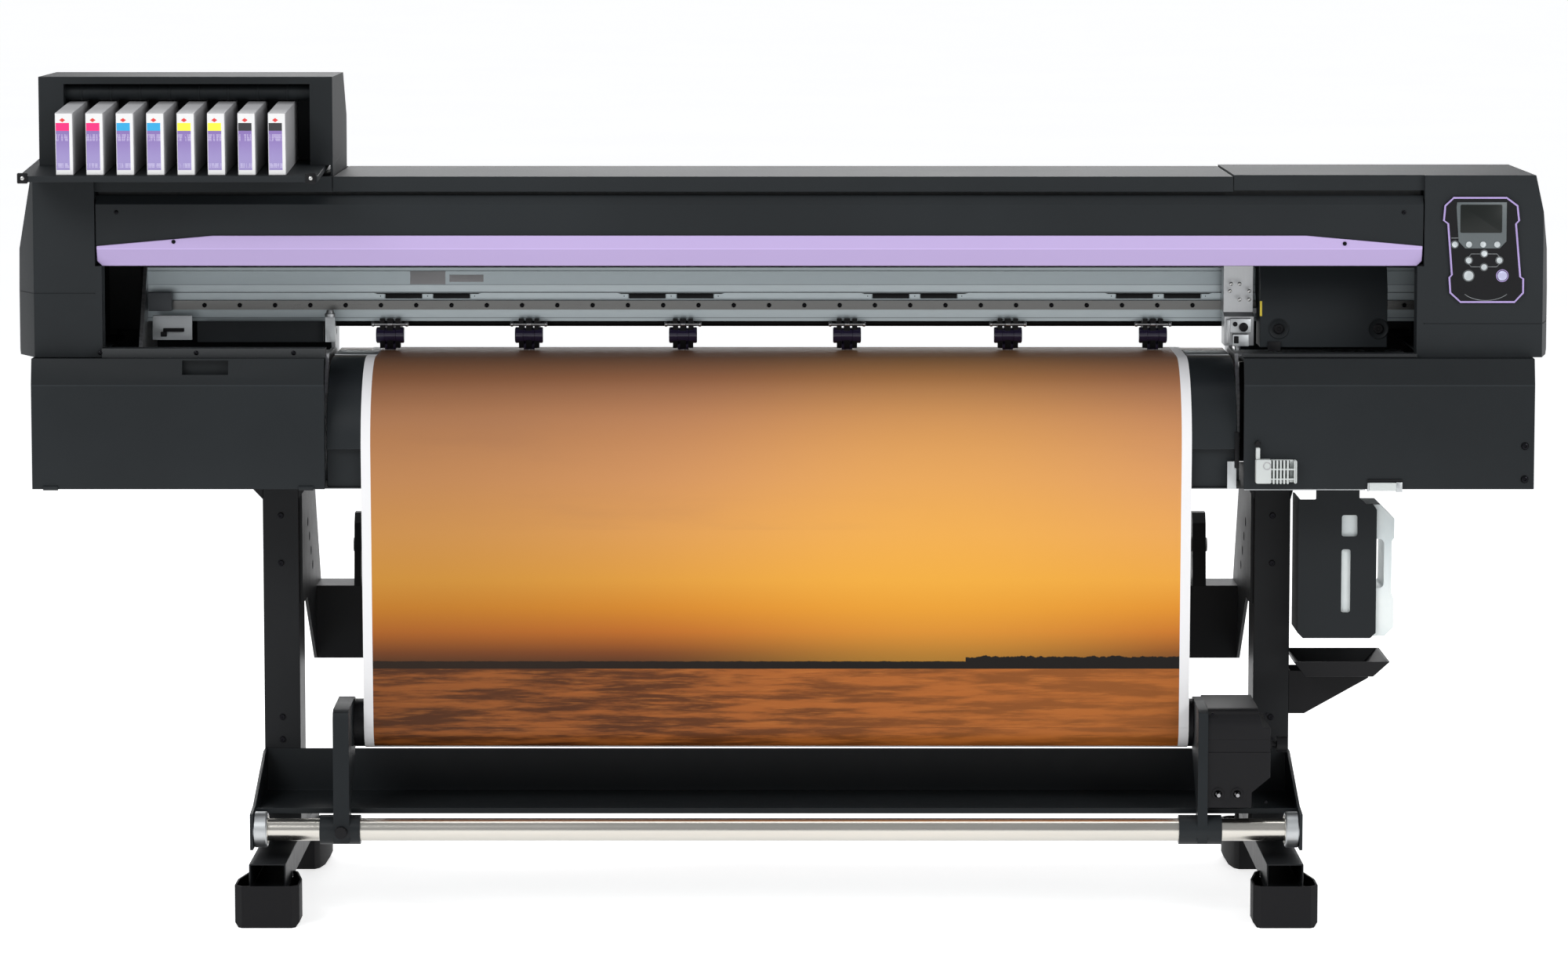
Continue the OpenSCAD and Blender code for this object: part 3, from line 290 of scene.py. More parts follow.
def brushed(name, base, along=(1, 0, 0), rough=0.32, relief=0.00003, streaks=0.16):
    """Metal brushed or drawn along one axis: long streaks in colour, gloss and relief."""
    f = Finish(name, Metallic=1.0)
    stretch = tuple(0.012 if a else 1 for a in along)
    lines = f.noise(2600, 3, 0.65, stretch)
    broad = f.noise(60, 3, 0.5, tuple(0.05 if a else 1 for a in along))
    f.set("Base Color", f.mix(lines * 0.6 + broad * 0.4, tint(base, 0.78), tint(base, 1.12)))
    f.set("Roughness", rough + (lines - 0.5) * streaks + (broad - 0.5) * 0.1)
    return f.bump(lines, relief)


def rubbery(name, base, rough=0.55):
    """Soft rubber or cable sheath: matt, with a faint bloom."""
    f = Finish(name, **DULL)
    bloom = f.noise(90, 4, 0.6)
    f.set("Base Color", f.mix(bloom.smooth(0.45, 0.75), base, tint(base, 1.5)))
    f.set("Roughness", rough + bloom * 0.15)
    return f.bump(f.noise(900, 2), 0.00005)


def glossy(name, base, rough=0.25, coat=0.0, **fixed):
    """Smooth paint or gloss plastic with faint flow marks."""
    f = Finish(name, Coat_Weight=coat, Coat_Roughness=0.15, **fixed)
    flow = f.noise(14, 3, 0.5)
    f.set("Base Color", f.mix(flow.smooth(0.3, 0.75), tint(base, 0.95), tint(base, 1.04)))
    f.set("Roughness", rough + (f.noise(240, 3) - 0.5) * 0.08)
    return f.bump(f.noise(700, 2), 0.00002)


# ---------------------------------------------------------------- surfaces
def grid_faces(rows, columns, wrap_rows=False, wrap_columns=False):
    """Four-sided faces of a grid of points stored row by row."""
    i, j = np.meshgrid(np.arange(rows - (not wrap_rows)), np.arange(columns - (not wrap_columns)),
                       indexing="ij")
    i2, j2 = (i + 1) % rows, (j + 1) % columns
    return np.stack([i * columns + j, i2 * columns + j, i2 * columns + j2, i * columns + j2], -1).reshape(-1, 4)


class Shape:
    """Points and faces gathered from several surfaces, which become one piece."""

    def __init__(self):
        self.points, self.faces, self.count = [], [], 0

    def add(self, points, faces):
        points = np.asarray(points, float).reshape(-1, 3)
        self.points.append(points)
        self.faces += [tuple(int(v) + self.count for v in f) for f in faces]
        self.count += len(points)
        return self

    def piece(self, name, body, finish, slot, smooth=35, bevel=0.0):
        """Makes the piece, with faces outwards, rides it on its body and gives it its finish."""
        mesh = bpy.data.meshes.new(name)
        mesh.from_pydata(np.concatenate(self.points), [], self.faces)
        made = bpy.data.objects.new(name, mesh)
        bpy.context.scene.collection.objects.link(made)
        tidy_mesh(mesh, smooth, outward=True)
        return dressed(made, body, finish, bevel)


def tidy_mesh(mesh, smooth, outward=False, merge=2e-6, flat=None):
    """Merges doubles, turns faces outwards if asked, and marks edges sharper than smooth degrees."""
    work = bmesh.new()
    work.from_mesh(mesh)
    bmesh.ops.remove_doubles(work, verts=work.verts, dist=merge)
    if flat:
        bmesh.ops.dissolve_limit(work, angle_limit=math.radians(flat), verts=work.verts, edges=work.edges)
    if outward:
        bmesh.ops.recalc_face_normals(work, faces=work.faces)
    limit = math.radians(smooth)
    for edge in work.edges:
        edge.smooth = len(edge.link_faces) == 2 and edge.calc_face_angle(0) < limit
    for face in work.faces:
        face.smooth = True
    work.to_mesh(mesh)
    work.free()


def dressed(made, body, finish, bevel=0.0, segments=2):
    """Gives a piece its finish, an optional rounded edge and its body."""
    made.data.materials.clear()
    made.data.materials.append(finish.material)
    if bevel:
        edge = made.modifiers.new("edge", "BEVEL")
        edge.width, edge.segments, edge.limit_method = bevel, segments, "ANGLE"
        edge.angle_limit, edge.harden_normals = math.radians(32), True
        edge.use_clamp_overlap = True
    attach(made, body)
    return made


def softened(node, body, finish, edge):
    """A copy of a CAD node with the same faces and rounded edges, which stands for it."""
    mesh = NODES[node].data.copy()
    mesh.name = f"{node}_finished"
    made = bpy.data.objects.new(f"{node}_finished", mesh)
    bpy.context.scene.collection.objects.link(made)
    tidy_mesh(mesh, 32, flat=0.4, merge=1e-5)
    dressed(made, body, finish, edge)
    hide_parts(node)
    return made


def finish_node(node, finish):
    """Gives a CAD node its finish and leaves its mesh alone."""
    made = NODES[node]
    made.data.materials.clear()
    made.data.materials.append(finish.material)


def basis(axis):
    """Two unit vectors square to an axis, and the axis itself."""
    w = np.asarray(axis, float) / np.linalg.norm(axis)
    u = np.cross(w, (0, 0, 1)) if abs(w[2]) < 0.9 else np.array((1.0, 0, 0))
    u /= np.linalg.norm(u)
    return u, np.cross(w, u), w


def turned(shape, centre, axis, profile, sides=24):
    """A profile of (distance along axis, radius) turned round the axis: point = centre + axis * d + radius * ring."""
    u, v, w = basis(axis)
    d, r = np.array(profile, float).T
    a = np.linspace(0, 2 * math.pi, sides, endpoint=False)
    ring = np.cos(a)[:, None] * u + np.sin(a)[:, None] * v
    points = np.asarray(centre) + d[:, None, None] * w + r[:, None, None] * ring
    faces = list(grid_faces(len(d), sides, wrap_columns=True))
    n = len(d) * sides
    for start, radius in ((0, r[0]), (n - sides, r[-1])):
        if radius > 1e-9:
            faces.append(tuple(range(start, start + sides)))
    return shape.add(points, faces)


def inward(outline):
    """Unit vectors that point into an outline at each corner: the turned sum of the edges that meet there."""
    before = outline - np.roll(outline, 1, 0)
    after = np.roll(outline, -1, 0) - outline
    turn = np.stack([-(before + after)[:, 1], (before + after)[:, 0]], 1)
    size = np.linalg.norm(turn, axis=1, keepdims=True)
    following = np.roll(outline, -1, 0)
    area = np.sum(outline[:, 0] * following[:, 1] - following[:, 0] * outline[:, 1])
    return turn / np.where(size > 1e-12, size, 1) * (1 if area > 0 else -1)


def slab(shape, outline, origin, u, v, thick, edge=0.0):
    """A flat outline in the u and v directions, thickened along u x v, its upper rim rounded by edge.

    Rings of the outline, moved in and up, run from the lower face to the upper one."""
    u, v = np.asarray(u, float), np.asarray(v, float)
    outline = np.asarray(outline, float)
    n = len(outline)
    rings = [(0, 0), (0, thick - edge)]
    rings += [(edge * (1 - math.cos(a)), thick - edge + edge * math.sin(a)) for a in (math.pi / 4, math.pi / 2)] \
        if edge else []
    points = [np.asarray(origin) + (outline + inward(outline) * i) @ np.stack([u, v]) + np.cross(u, v) * h
              for i, h in rings]
    faces = list(grid_faces(len(rings), n, wrap_columns=True))
    faces += [tuple(range(n)), tuple(range((len(rings) - 1) * n, len(rings) * n))]
    return shape.add(np.array(points), faces)


def band(shape, outline, origin, u, v, width, height):
    """A raised line along a closed outline: outer foot, outer top, inner top and inner foot, joined in a ring."""
    outline = np.asarray(outline, float)
    u, v = np.asarray(u, float), np.asarray(v, float)
    rings = ((0, -height), (0, height), (width, height), (width, -height))
    points = [np.asarray(origin) + (outline + inward(outline) * i) @ np.stack([u, v]) + np.cross(u, v) * h
              for i, h in rings]
    return shape.add(np.array(points), grid_faces(4, len(outline), wrap_rows=True, wrap_columns=True))


def block(shape, x, y, z, edge=0.0006):
    """A box between two x, y and z values in millimetres, its front rim rounded."""
    return slab(shape, round_box((x[1] - x[0]) * MM, (z[1] - z[0]) * MM, edge * 1.5, 2),
                ((x[0] + x[1]) / 2 * MM, y[1] * MM, (z[0] + z[1]) / 2 * MM), X, Z, (y[1] - y[0]) * MM, edge)


def round_box(w, h, r, steps=4, centre=(0, 0)):
    """Anticlockwise outline of a rectangle with round corners, its corners as arcs."""
    a = np.linspace(0, math.pi / 2, steps + 1)
    parts = []
    for k, (sx, sy) in enumerate(((1, 1), (-1, 1), (-1, -1), (1, -1))):
        b = a + k * math.pi / 2
        parts.append(np.stack([sx * (w / 2 - r) + r * np.cos(b), sy * (h / 2 - r) + r * np.sin(b)], 1))
    return np.concatenate(parts) + centre


def disc(r, sides=24, centre=(0, 0)):
    """Anticlockwise circle outline."""
    a = np.linspace(0, 2 * math.pi, sides, endpoint=False)
    return np.stack([np.cos(a), np.sin(a)], 1) * r + centre


def swept(shape, path, r, sides=10):
    """A round tube carried along a path; each ring is square to the path."""
    path = np.asarray(path, float)
    along = np.gradient(path, axis=0)
    along /= np.linalg.norm(along, axis=1, keepdims=True)
    side = np.cross(along, (1.0, 0.15, 0.1))
    side /= np.linalg.norm(side, axis=1, keepdims=True)
    up = np.cross(along, side)
    a = np.linspace(0, 2 * math.pi, sides, endpoint=False)
    ring = np.cos(a)[None, :, None] * side[:, None] + np.sin(a)[None, :, None] * up[:, None]
    faces = list(grid_faces(len(path), sides, wrap_columns=True))
    faces += [tuple(range(sides)), tuple(range((len(path) - 1) * sides, len(path) * sides))]
    return shape.add(path[:, None] + r * ring, faces)


def curve_through(points, per_span=4):
    """A Catmull-Rom curve through points: each span is a cubic with the neighbours' chord as its tangent."""
    p = np.asarray(points, float)
    p = np.concatenate([2 * p[:1] - p[1:2], p, 2 * p[-1:] - p[-2:-1]])
    t = np.linspace(0, 1, per_span, endpoint=False)[None, :, None]
    a, b, c, d = (p[i:len(p) - 3 + i, None] for i in range(4))
    spans = 0.5 * (2 * b + (c - a) * t + (2 * a - 5 * b + 4 * c - d) * t ** 2 + (3 * b - a - 3 * c + d) * t ** 3)
    return np.concatenate([spans.reshape(-1, 3), p[-2:-1]])


def screw(shape, centre, axis, r, sides=14):
    """A pan head with a socket: a domed profile with a sunk middle."""
    turned(shape, centre, axis, [(-r * 0.2, r), (r * 0.25, r), (r * 0.5, r * 0.82), (r * 0.62, r * 0.45),
                                 (r * 0.2, r * 0.4), (r * 0.2, 0)], sides)


def screws(name, body, finish, slot, y, places, r):
    """Screw heads that face forwards, at x and z places in millimetres on the plane y in metres."""
    shape = Shape()
    for x, z in places:
        screw(shape, (x * MM, y, z * MM), OUT, r)
    return shape.piece(name, body, finish, slot)


def blocks(name, body, finish, slot, *boxes, edge=0.0006):
    """Boxes as one piece, each given as its x, y and z limits in millimetres."""
    shape = Shape()
    for x, y, z in boxes:
        block(shape, x, y, z, edge)
    return shape.piece(name, body, finish, slot)


X, Y, Z = np.eye(3)
OUT = -Y  # towards the front


class SUBJECT:
    """Shared by every operator: how it is listed and what it may do."""

    bl_options = {"REGISTER", "UNDO"}

    @property
    def paint(self):
        return bpy.context.scene.cutter_paint

    @property
    def sizes(self):
        return bpy.context.scene.cutter_shape


F = {}  # finishes by name, made once by the first operator


def label_face(node):
    """Lowest front corner of a cartridge, its width, and the vector up its sloping front face."""
    points = np.array([v.co[:] for v in NODES[node].data.vertices])
    left = points[points[:, 0] < points[:, 0].min() + 1e-5]
    foot = left[left[:, 2].argmin()]
    away = np.linalg.norm(left - foot, axis=1)
    top = left[np.where(away > 0.05, away, 9).argmin()]
    return foot, points[:, 0].max() - foot[0], top - foot


class CUTTER_OT_stage(SUBJECT, bpy.types.Operator):
    """Make the pale floor, the soft lights and the camera"""

    bl_idname = "cutter.stage"
    bl_label = "Stage"

    def execute(self, context):
        view = context.scene.cutter_view
        f = Finish("studio_floor", Roughness=0.7, Emission_Color=(1, 1, 1, 1), Emission_Strength=0.66)
        f.set("Base Color", f.mix(f.noise(0.7, 2).smooth(0.3, 0.7), (0.83, 0.83, 0.83), (0.86, 0.86, 0.86)))
        # A flat floor that reaches past the horizon of every view, as a grid of nine points
        across = np.array([-150.0, 0.0, 150.0])
        points = np.stack(np.broadcast_arrays(across[None, :], across[:, None], np.zeros((3, 3))), -1)
        mesh = bpy.data.meshes.new("studio_floor")
        mesh.from_pydata(points.reshape(-1, 3), [], [tuple(map(int, q)) for q in grid_faces(3, 3)])
        floor = bpy.data.objects.new("studio_floor", mesh)
        context.scene.collection.objects.link(floor)
        tidy_mesh(mesh, 60, outward=True)
        mesh.materials.append(f.material)
        lights = (
            ("softbox_left", (-3.6, -4.6, 4.2), (0.0, -0.1, 0.9), 3.4, view.key_light),
            ("softbox_right", (4.2, -4.2, 3.0), (0.2, 0.0, 0.8), 2.8, view.key_light * 0.6),
            ("overhead", (0.0, 0.4, 4.6), (0.0, 0.0, 1.0), 4.0, view.key_light * 0.42),
            ("rear_fill", (0.0, 5.2, 3.0), (0.0, 0.2, 0.8), 3.6, view.key_light * 0.45),
        )
        for name, place, aim, size, power in lights:
            light = bpy.data.lights.new(name, "AREA")
            light.shape, light.size, light.size_y, light.energy = "RECTANGLE", size, size * 0.6, power
            lamp = bpy.data.objects.new(name, light)
            context.scene.collection.objects.link(lamp)
            lamp.location = place
            away = Vector(place) - Vector(aim)
            lamp.rotation_euler = away.to_track_quat("Z", "Y").to_euler()
        world = bpy.data.worlds.new("studio")
        world.use_nodes = True
        world.node_tree.nodes["Background"].inputs[0].default_value = (0.95, 0.97, 1.0, 1)
        world.node_tree.nodes["Background"].inputs[1].default_value = 0.4
        context.scene.world = world
        context.scene.view_settings.view_transform = "Standard"
        camera = bpy.data.cameras.new("camera")
        camera.sensor_width, camera.lens = 36, 128.8
        camera.clip_end = 400
        eye = bpy.data.objects.new("camera", camera)
        context.scene.collection.objects.link(eye)
        eye.location = (0.008, -view.distance, view.eye_height)
        eye.rotation_euler = (math.radians(90 - 6.05), 0, math.radians(0.04))
        context.scene.camera = eye
        return {"FINISHED"}


class CUTTER_OT_finishes(SUBJECT, bpy.types.Operator):
    """Make the shared finishes"""

    bl_idname = "cutter.finishes"
    bl_label = "Finishes"

    def execute(self, context):
        paint = self.paint
        F["cover"] = moulded("charcoal_moulding", tuple(paint.cover), **DULL)
        F["smooth_cover"] = moulded("smooth_charcoal", tint(paint.cover, 1.5), 2200, 0.42, 0.00006, **DULL)
        F["panel"] = powder_coat("dark_powder_coat", tuple(paint.panel))
        F["stand"] = powder_coat("black_powder_coat", tuple(paint.stand), 0.45)
        F["foot"] = moulded("foot_plastic", (0.006, 0.006, 0.007), 900, 0.6, 0.0002, **DULL)
        F["black"] = moulded("black_plastic", (0.006, 0.006, 0.007), 1500, 0.4, 0.00005, **DULL)
        F["trim"] = self.trim_finish()
        F["lower_panel"] = self.creased_finish()
        F["rim"] = glossy("lilac_line", (0.33, 0.25, 0.50), 0.4)
        F["bar"] = self.bar_finish()
        F["rail"] = brushed("rail_steel", (0.17, 0.17, 0.165), rough=0.3)
        F["tube"] = brushed("tube_steel", (0.62, 0.60, 0.55), rough=0.24, relief=0.00001, streaks=0.08)
        F["platen"] = brushed("platen_metal", (0.10, 0.085, 0.07), rough=0.45)
        F["roller"] = brushed("roller_steel", (0.35, 0.35, 0.34), (0, 0, 0), 0.5, 0.0001)
        F["cutter"] = brushed("cutter_metal", (0.52, 0.53, 0.54), (0, 0, 1), 0.36)
        F["chrome"] = brushed("plated_steel", (0.30, 0.30, 0.31), (0, 1, 0), 0.2, 0.000005, 0.05)
        F["zinc"] = brushed("zinc_sheet", (0.52, 0.54, 0.55), (1, 0, 0), 0.42)
        F["screw"] = brushed("black_zinc", (0.012, 0.012, 0.014), (0, 0, 0), 0.35, 0.00001)
        F["bright_screw"] = brushed("bright_zinc", (0.55, 0.55, 0.54), (0, 0, 0), 0.3, 0.00001)
        F["rubber"] = rubbery("pinch_rubber", (0.02, 0.015, 0.035), 0.3)
        # The drum's faint purple tint is a painted sheen on black gloss
        F["drum"] = glossy("pinch_drum", (0.022, 0.017, 0.045), 0.22, 0.5)
        F["sheath"] = rubbery("cable_sheath", (0.006, 0.006, 0.006))
        F["grey_box"] = moulded("grey_moulding", (0.10, 0.11, 0.12), 1200, 0.5, 0.00004)
        F["white"] = moulded("white_moulding", (0.52, 0.55, 0.54), 1500, 0.45, 0.00003, wear=0.96)
        F["cartridge"] = moulded("cartridge_grey", (0.36, 0.36, 0.37), 1300, 0.42, 0.00004, wear=1.1)
        F["key"] = rubbery("key_grey", (0.40, 0.43, 0.44), 0.45)
        F["line"] = rubbery("grey_line", (0.16, 0.17, 0.175), 0.5)
        F["lilac_key"] = rubbery("key_lilac", (0.40, 0.40, 0.56), 0.45)
        F["lcd"] = glossy("display_glass", (0.010, 0.012, 0.011), 0.3, 0.1, **DULL)
        F["bezel"] = glossy("display_bezel", (0.075, 0.09, 0.095), 0.4)
        F["yellow"] = glossy("yellow_label", (0.78, 0.60, 0.04), 0.4)
        F["frame"] = self.frame_finish()
        F["bottle"] = self.bottle_finish()
        F["wound"] = self.wound_finish()
        F["print"] = self.print_finish()
        for name, ink in INKS.items():
            F[name] = self.label_finish(name, ink)
        return {"FINISHED"}

    def bar_finish(self):
        """Anodised extrusion brushed along its length, a paler lower half, and dark lines of painted shadow where its
        steps meet.
        """
        f = Finish("bar_aluminium", Metallic=1.0)
        x, y, z = f.axes()
        lines = f.noise(2600, 3, 0.65, (0.012, 1, 1))
        tone = f.mix((z < 1.0205) * 0.8, (0.36, 0.41, 0.43), (0.52, 0.58, 0.60))
        # Painted shadow: a thin dark line just above each step
        for step in (1.0205, 1.0075, 0.9650):
            tone = f.mix((z > step) * (z < step + 0.0011) * 0.75, tone, (0.06, 0.065, 0.07))
        f.set("Base Color", f.mix(lines * 0.35, tone, (0.30, 0.33, 0.34)))
        f.set("Roughness", 0.4 + (lines - 0.5) * 0.16)
        return f.bump(lines, 0.00003)

    def trim_finish(self):
        """Satin lilac paint: a pale line along the fold that is a painted highlight, and a slightly deeper tone below
        it that is painted shade.
        """
        lilac = tuple(self.paint.trim)
        f = Finish("lilac_paint", **DULL)
        x, y, z = f.axes()
        fold = 1.0975
        flow = f.noise(6, 3).smooth(0.3, 0.75)
        # Painted shade: a slightly deeper lilac below the fold, with faint flow marks
        paint = f.mix((z < fold) * 0.9 + flow * 0.1, lilac, tint(lilac, 0.88))
        # Painted highlight: a pale line just above the fold
        f.set("Base Color", f.mix((z > fold) * (z < fold + 0.0014) * 0.6, paint, tint(lilac, 1.25)))
        f.set("Roughness", 0.42 + (f.noise(240, 3) - 0.5) * 0.08)
        return f.bump(f.noise(700, 2), 0.00002)

    def creased_finish(self):
        """Powder coat on the lower covers, a touch darker above the bend as painted shade, and pale along it as a
        painted highlight.
        """
        coat = tuple(self.paint.panel)
        f = Finish("lower_cover_coat", **DULL)
        x, y, z = f.axes()
        bend = 0.8785
        peel, clouds = f.noise(520, 2), f.noise(2.4, 3)
        base = f.mix(clouds.smooth(0.35, 0.7), tint(coat, 0.88), tint(coat, 1.12))
        # Painted shade: darker above the bend
        base = f.mix((z > bend) * 0.4, base, tint(coat, 0.5))
        # Painted highlight: a pale line just below the bend
        f.set("Base Color", f.mix((z > bend - 0.0012) * (z < bend) * 0.5, base, tint(coat, 3.0)))
        f.set("Roughness", 0.42 + (peel - 0.5) * 0.12 + (f.noise(30, 4) - 0.5) * 0.1)
        return f.bump(peel, 0.00006)

    def frame_finish(self):
        """Galvanised sheet inside, and dark powder coat on the sills, the hinge sheet and the curtains."""
        f = Finish("frame_sheet")
        x, y, z = f.axes()
        # Dark where the sheet is at the front, above the sill, or just inside the rear wall
        shown = (y < -0.1) * (z > 0.9) + (y > 0.187) * (z > 0.85) + (z < 0.7085)
        spangle = f.cells(160)
        f.set("Base Color", f.mix(shown, f.mix(spangle.smooth(0.1, 0.7), (0.40, 0.41, 0.42), (0.52, 0.53, 0.54)),
                                  tuple(self.paint.panel)))
        f.set("Metallic", 1.0 - shown)
        f.set("Roughness", 0.4 + spangle * 0.12 + shown * 0.05)
        return f.bump(f.noise(520, 2), 0.00003)

    def bottle_finish(self):
        """Natural polyethylene: milky with a patchy haze, and a little light passes through."""
        f = Finish("bottle_polyethylene", Subsurface_Weight=0.25, Subsurface_Radius=(0.03, 0.03, 0.03))
        x, y, z = f.axes()
        haze = f.noise(9, 4, 0.6)
        f.set("Base Color", f.mix(haze.smooth(0.3, 0.75), (0.60, 0.66, 0.67), (0.74, 0.78, 0.77)))
        f.set("Roughness", 0.36 + haze * 0.12)
        return f.bump(f.noise(160, 3, 0.5, (1, 1, 0.3)), 0.0002)

    def wound_finish(self):
        """White film wound in a roll: fine rings on the ends and faint bands along it."""
        f = Finish("wound_film")
        x, y, z = f.axes()
        rings = f.noise(900, 2, 0.6, (0.02, 1, 1))
        f.set("Base Color", f.mix(rings.smooth(0.35, 0.7), (0.62, 0.62, 0.60), (0.80, 0.80, 0.79)))
        f.set("Roughness", 0.42 + rings * 0.14)
        return f.bump(rings, 0.00008)

    def print_finish(self):
        """A sunset over rippled water, drawn by height on the hanging part, with white margins."""
        paint = self.paint
        left, right = lo("media_web")[0], hi("media_web")[0]
        f = Finish("printed_film", **DULL)
        x, y, z = f.axes()
        horizon, top = 0.418, 0.925
        sky = f.node("ShaderNodeValToRGB", {"stops": (
            (0.0, (0.10, 0.035, 0.010)), (1.0, tuple(paint.sky_high)), (0.03, (0.20, 0.055, 0.012)),
            (0.10, (0.52, 0.15, 0.016)), (0.18, (0.68, 0.25, 0.020)), (0.27, tuple(paint.sky_low)),
            (0.42, (0.74, 0.34, 0.085)), (0.60, (0.64, 0.29, 0.105)), (0.80, (0.50, 0.22, 0.095)),
            (0.92, (0.36, 0.155, 0.075)))}, [(z - horizon) / (top - horizon)])
        ripples = f.noise(20, 5, 0.62, (0.30, 1, 3.4))
        fine = f.noise(70, 4, 0.6, (0.22, 1, 3.0))
        lake = f.mix(ripples.smooth(0.40, 0.62), (0.09, 0.025, 0.006), tuple(paint.water))
        lake = f.mix(fine.smooth(0.52, 0.75) * 0.6, lake, (0.46, 0.15, 0.03))
        # Painted light: the water grows lighter towards the right
        lake = f.mix((x / right).smooth(-0.6, 1.0) * 0.45, lake, (0.50, 0.155, 0.025))
        clouds = f.noise(3.0, 5, 0.6, (0.6, 1, 3.4)).smooth(0.5, 0.8) * (z > horizon + 0.22)
        sky = f.mix(clouds * 0.22, sky, (0.36, 0.17, 0.10))
        # A small low sun glow to the right of the middle
        glow = 1.0 - ((x - 0.26) * (x - 0.26) + (z - 0.555) * (z - 0.555)).root().smooth(0.0, 0.55)
        sky = f.mix(glow * 0.38, sky, (0.88, 0.45, 0.045))
        # The far shore: a thin dark strip with an uneven, wooded upper edge
        trees = f.noise(34, 5, 0.75, (1, 0, 0)) * 0.016 * (0.3 + (x > 0.3) * 1.0) + horizon - 0.002
        picture = f.mix(z > trees, lake, sky)
        shore = (z > horizon - 0.011) * (z < trees + 0.001)
        picture = f.mix(shore, picture, (0.006, 0.004, 0.003))
        # Painted shade: the whole picture darkens towards the film's left edge
        shade = ((x - left) / (right - left)).smooth(0.0, 0.62) * 0.62 + 0.38
        picture = f.mix(shade, f.mix(0.5, picture, (0.05, 0.022, 0.008)), picture)
        # Behind the guide the film hasn't been printed yet
        inside = (x > left + 0.0155) * (x < right - 0.0165) * (z > 0.2745) * (y < 0.11)
        deeper = f.mix(0.16, picture, (0, 0, 0))
        f.set("Base Color", f.mix(inside, (0.70, 0.70, 0.71), deeper))
        f.set("Roughness", 0.40 + f.noise(60, 3) * 0.12)
        return f.bump(f.noise(5, 2, 0.4, (1, 1, 0.4)), 0.0008)

    def label_finish(self, name, ink):
        """A cartridge label: white, with a band of the ink's colour above a lilac field."""
        f = Finish(name)
        x, y, z = f.axes()
        foot, width, rise = label_face("cartridge_1")
        down = (foot[2] + rise[2] - z) / rise[2]
        pitch = lo("cartridge_2")[0] - foot[0]
        across = ((x - foot[0]) % pitch) / width
        inner = (across > 0.045) * (across < 0.80)
        lilac = f.mix((down - 0.285).smooth(0.0, 0.5), (0.20, 0.13, 0.36), (0.27, 0.22, 0.45))
        # A plain red lozenge above the colour band
        gem = ((across - 0.42) * (across - 0.42)).root() + ((down - 0.115) * (down - 0.115)).root() * 5.0 < 0.17
        rows = ((down * 55) % 1.0 > 0.45) * (f.noise(420, 2, 0.5, (1, 1, 0.1)) > 0.48)
        marks = rows * ((down > 0.34) * (down < 0.45) + (down > 0.80) * (down < 0.88))
        lilac = f.mix(marks * 0.45, lilac, (0.75, 0.72, 0.85))
        colour_here = f.mix(down > 0.285, ink, lilac)
        held = inner * (down > 0.16) * (down < 0.915)
        f.set("Base Color", f.mix(gem, f.mix(held, (0.66, 0.66, 0.66), colour_here), (0.62, 0.03, 0.03)))
        f.set("Roughness", 0.38 + f.noise(200, 3) * 0.1)
        return f.bump(f.noise(700, 2), 0.00002)


class CUTTER_OT_cable(SUBJECT, bpy.types.Operator):
    """Make the take-up motor's cable"""

    bl_idname = "cutter.cable"
    bl_label = "Motor cable"

    def execute(self, context):
        route = curve_through(np.array(CABLE) * MM)
        shape = Shape()
        swept(shape, route, 0.0035, 16)
        piece = shape.piece("motor_cable", "root", F["sheath"], "cable_pvc", 60)
        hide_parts("takeup_cable")
        relief = Shape()
        turned(relief, route[0] + Z * 0.0015, -Z, [(0, 0.0062), (0.004, 0.006), (0.007, 0.0046), (0.0125, 0.0041)], 20)
        relief.piece("cable_relief", "root", F["black"], "black_plastic")
        return {"FINISHED"}


class CUTTER_OT_covers(SUBJECT, bpy.types.Operator):
    """Finish the covers, the cartridge box and the panels with rounded edges"""

    bl_idname = "cutter.covers"
    bl_label = "Covers"

    def execute(self, context):
        edge, r = self.sizes.cover_edge, self.sizes.screw
        for node in ("left_cover", "right_cover", "top_cover", "cartridge_box", "cartridge_shelf"):
            softened(node, "root", F["cover"], edge)
        for node in ("rear_cover", "waste_holder", "front_guide"):
            softened(node, "root", F["panel"], edge)
        softened("front_cover", "front_cover", F["panel"], edge)
        softened("cover_trim", "front_cover", F["trim"], edge)
        softened("left_lower_cover", "left_lower_cover", F["lower_panel"], edge)
        softened("right_lower_cover", "root", F["lower_panel"], edge)
        screws("front_cover_screws", "front_cover", F["screw"], "black_plastic", lo("front_cover")[1],
               ((-1087, 1158), (1012, 1158)), r * 0.8)
        screws("trim_screws", "front_cover", F["screw"], "black_plastic", lo("cover_trim")[1],
               ((-994, 1110), (916, 1107)), r * 0.8)
        screws("sill_screws", "root", F["screw"], "black_plastic", -0.222,
               ((-1115, 929), (-958, 929), (-799, 929)), r * 0.9)
        screws("right_lower_screws", "root", F["screw"], "black_plastic", LOWER_FRONT,
               ((1209.5, 779), (1209.5, 724.5)), r * 1.5)
        return {"FINISHED"}


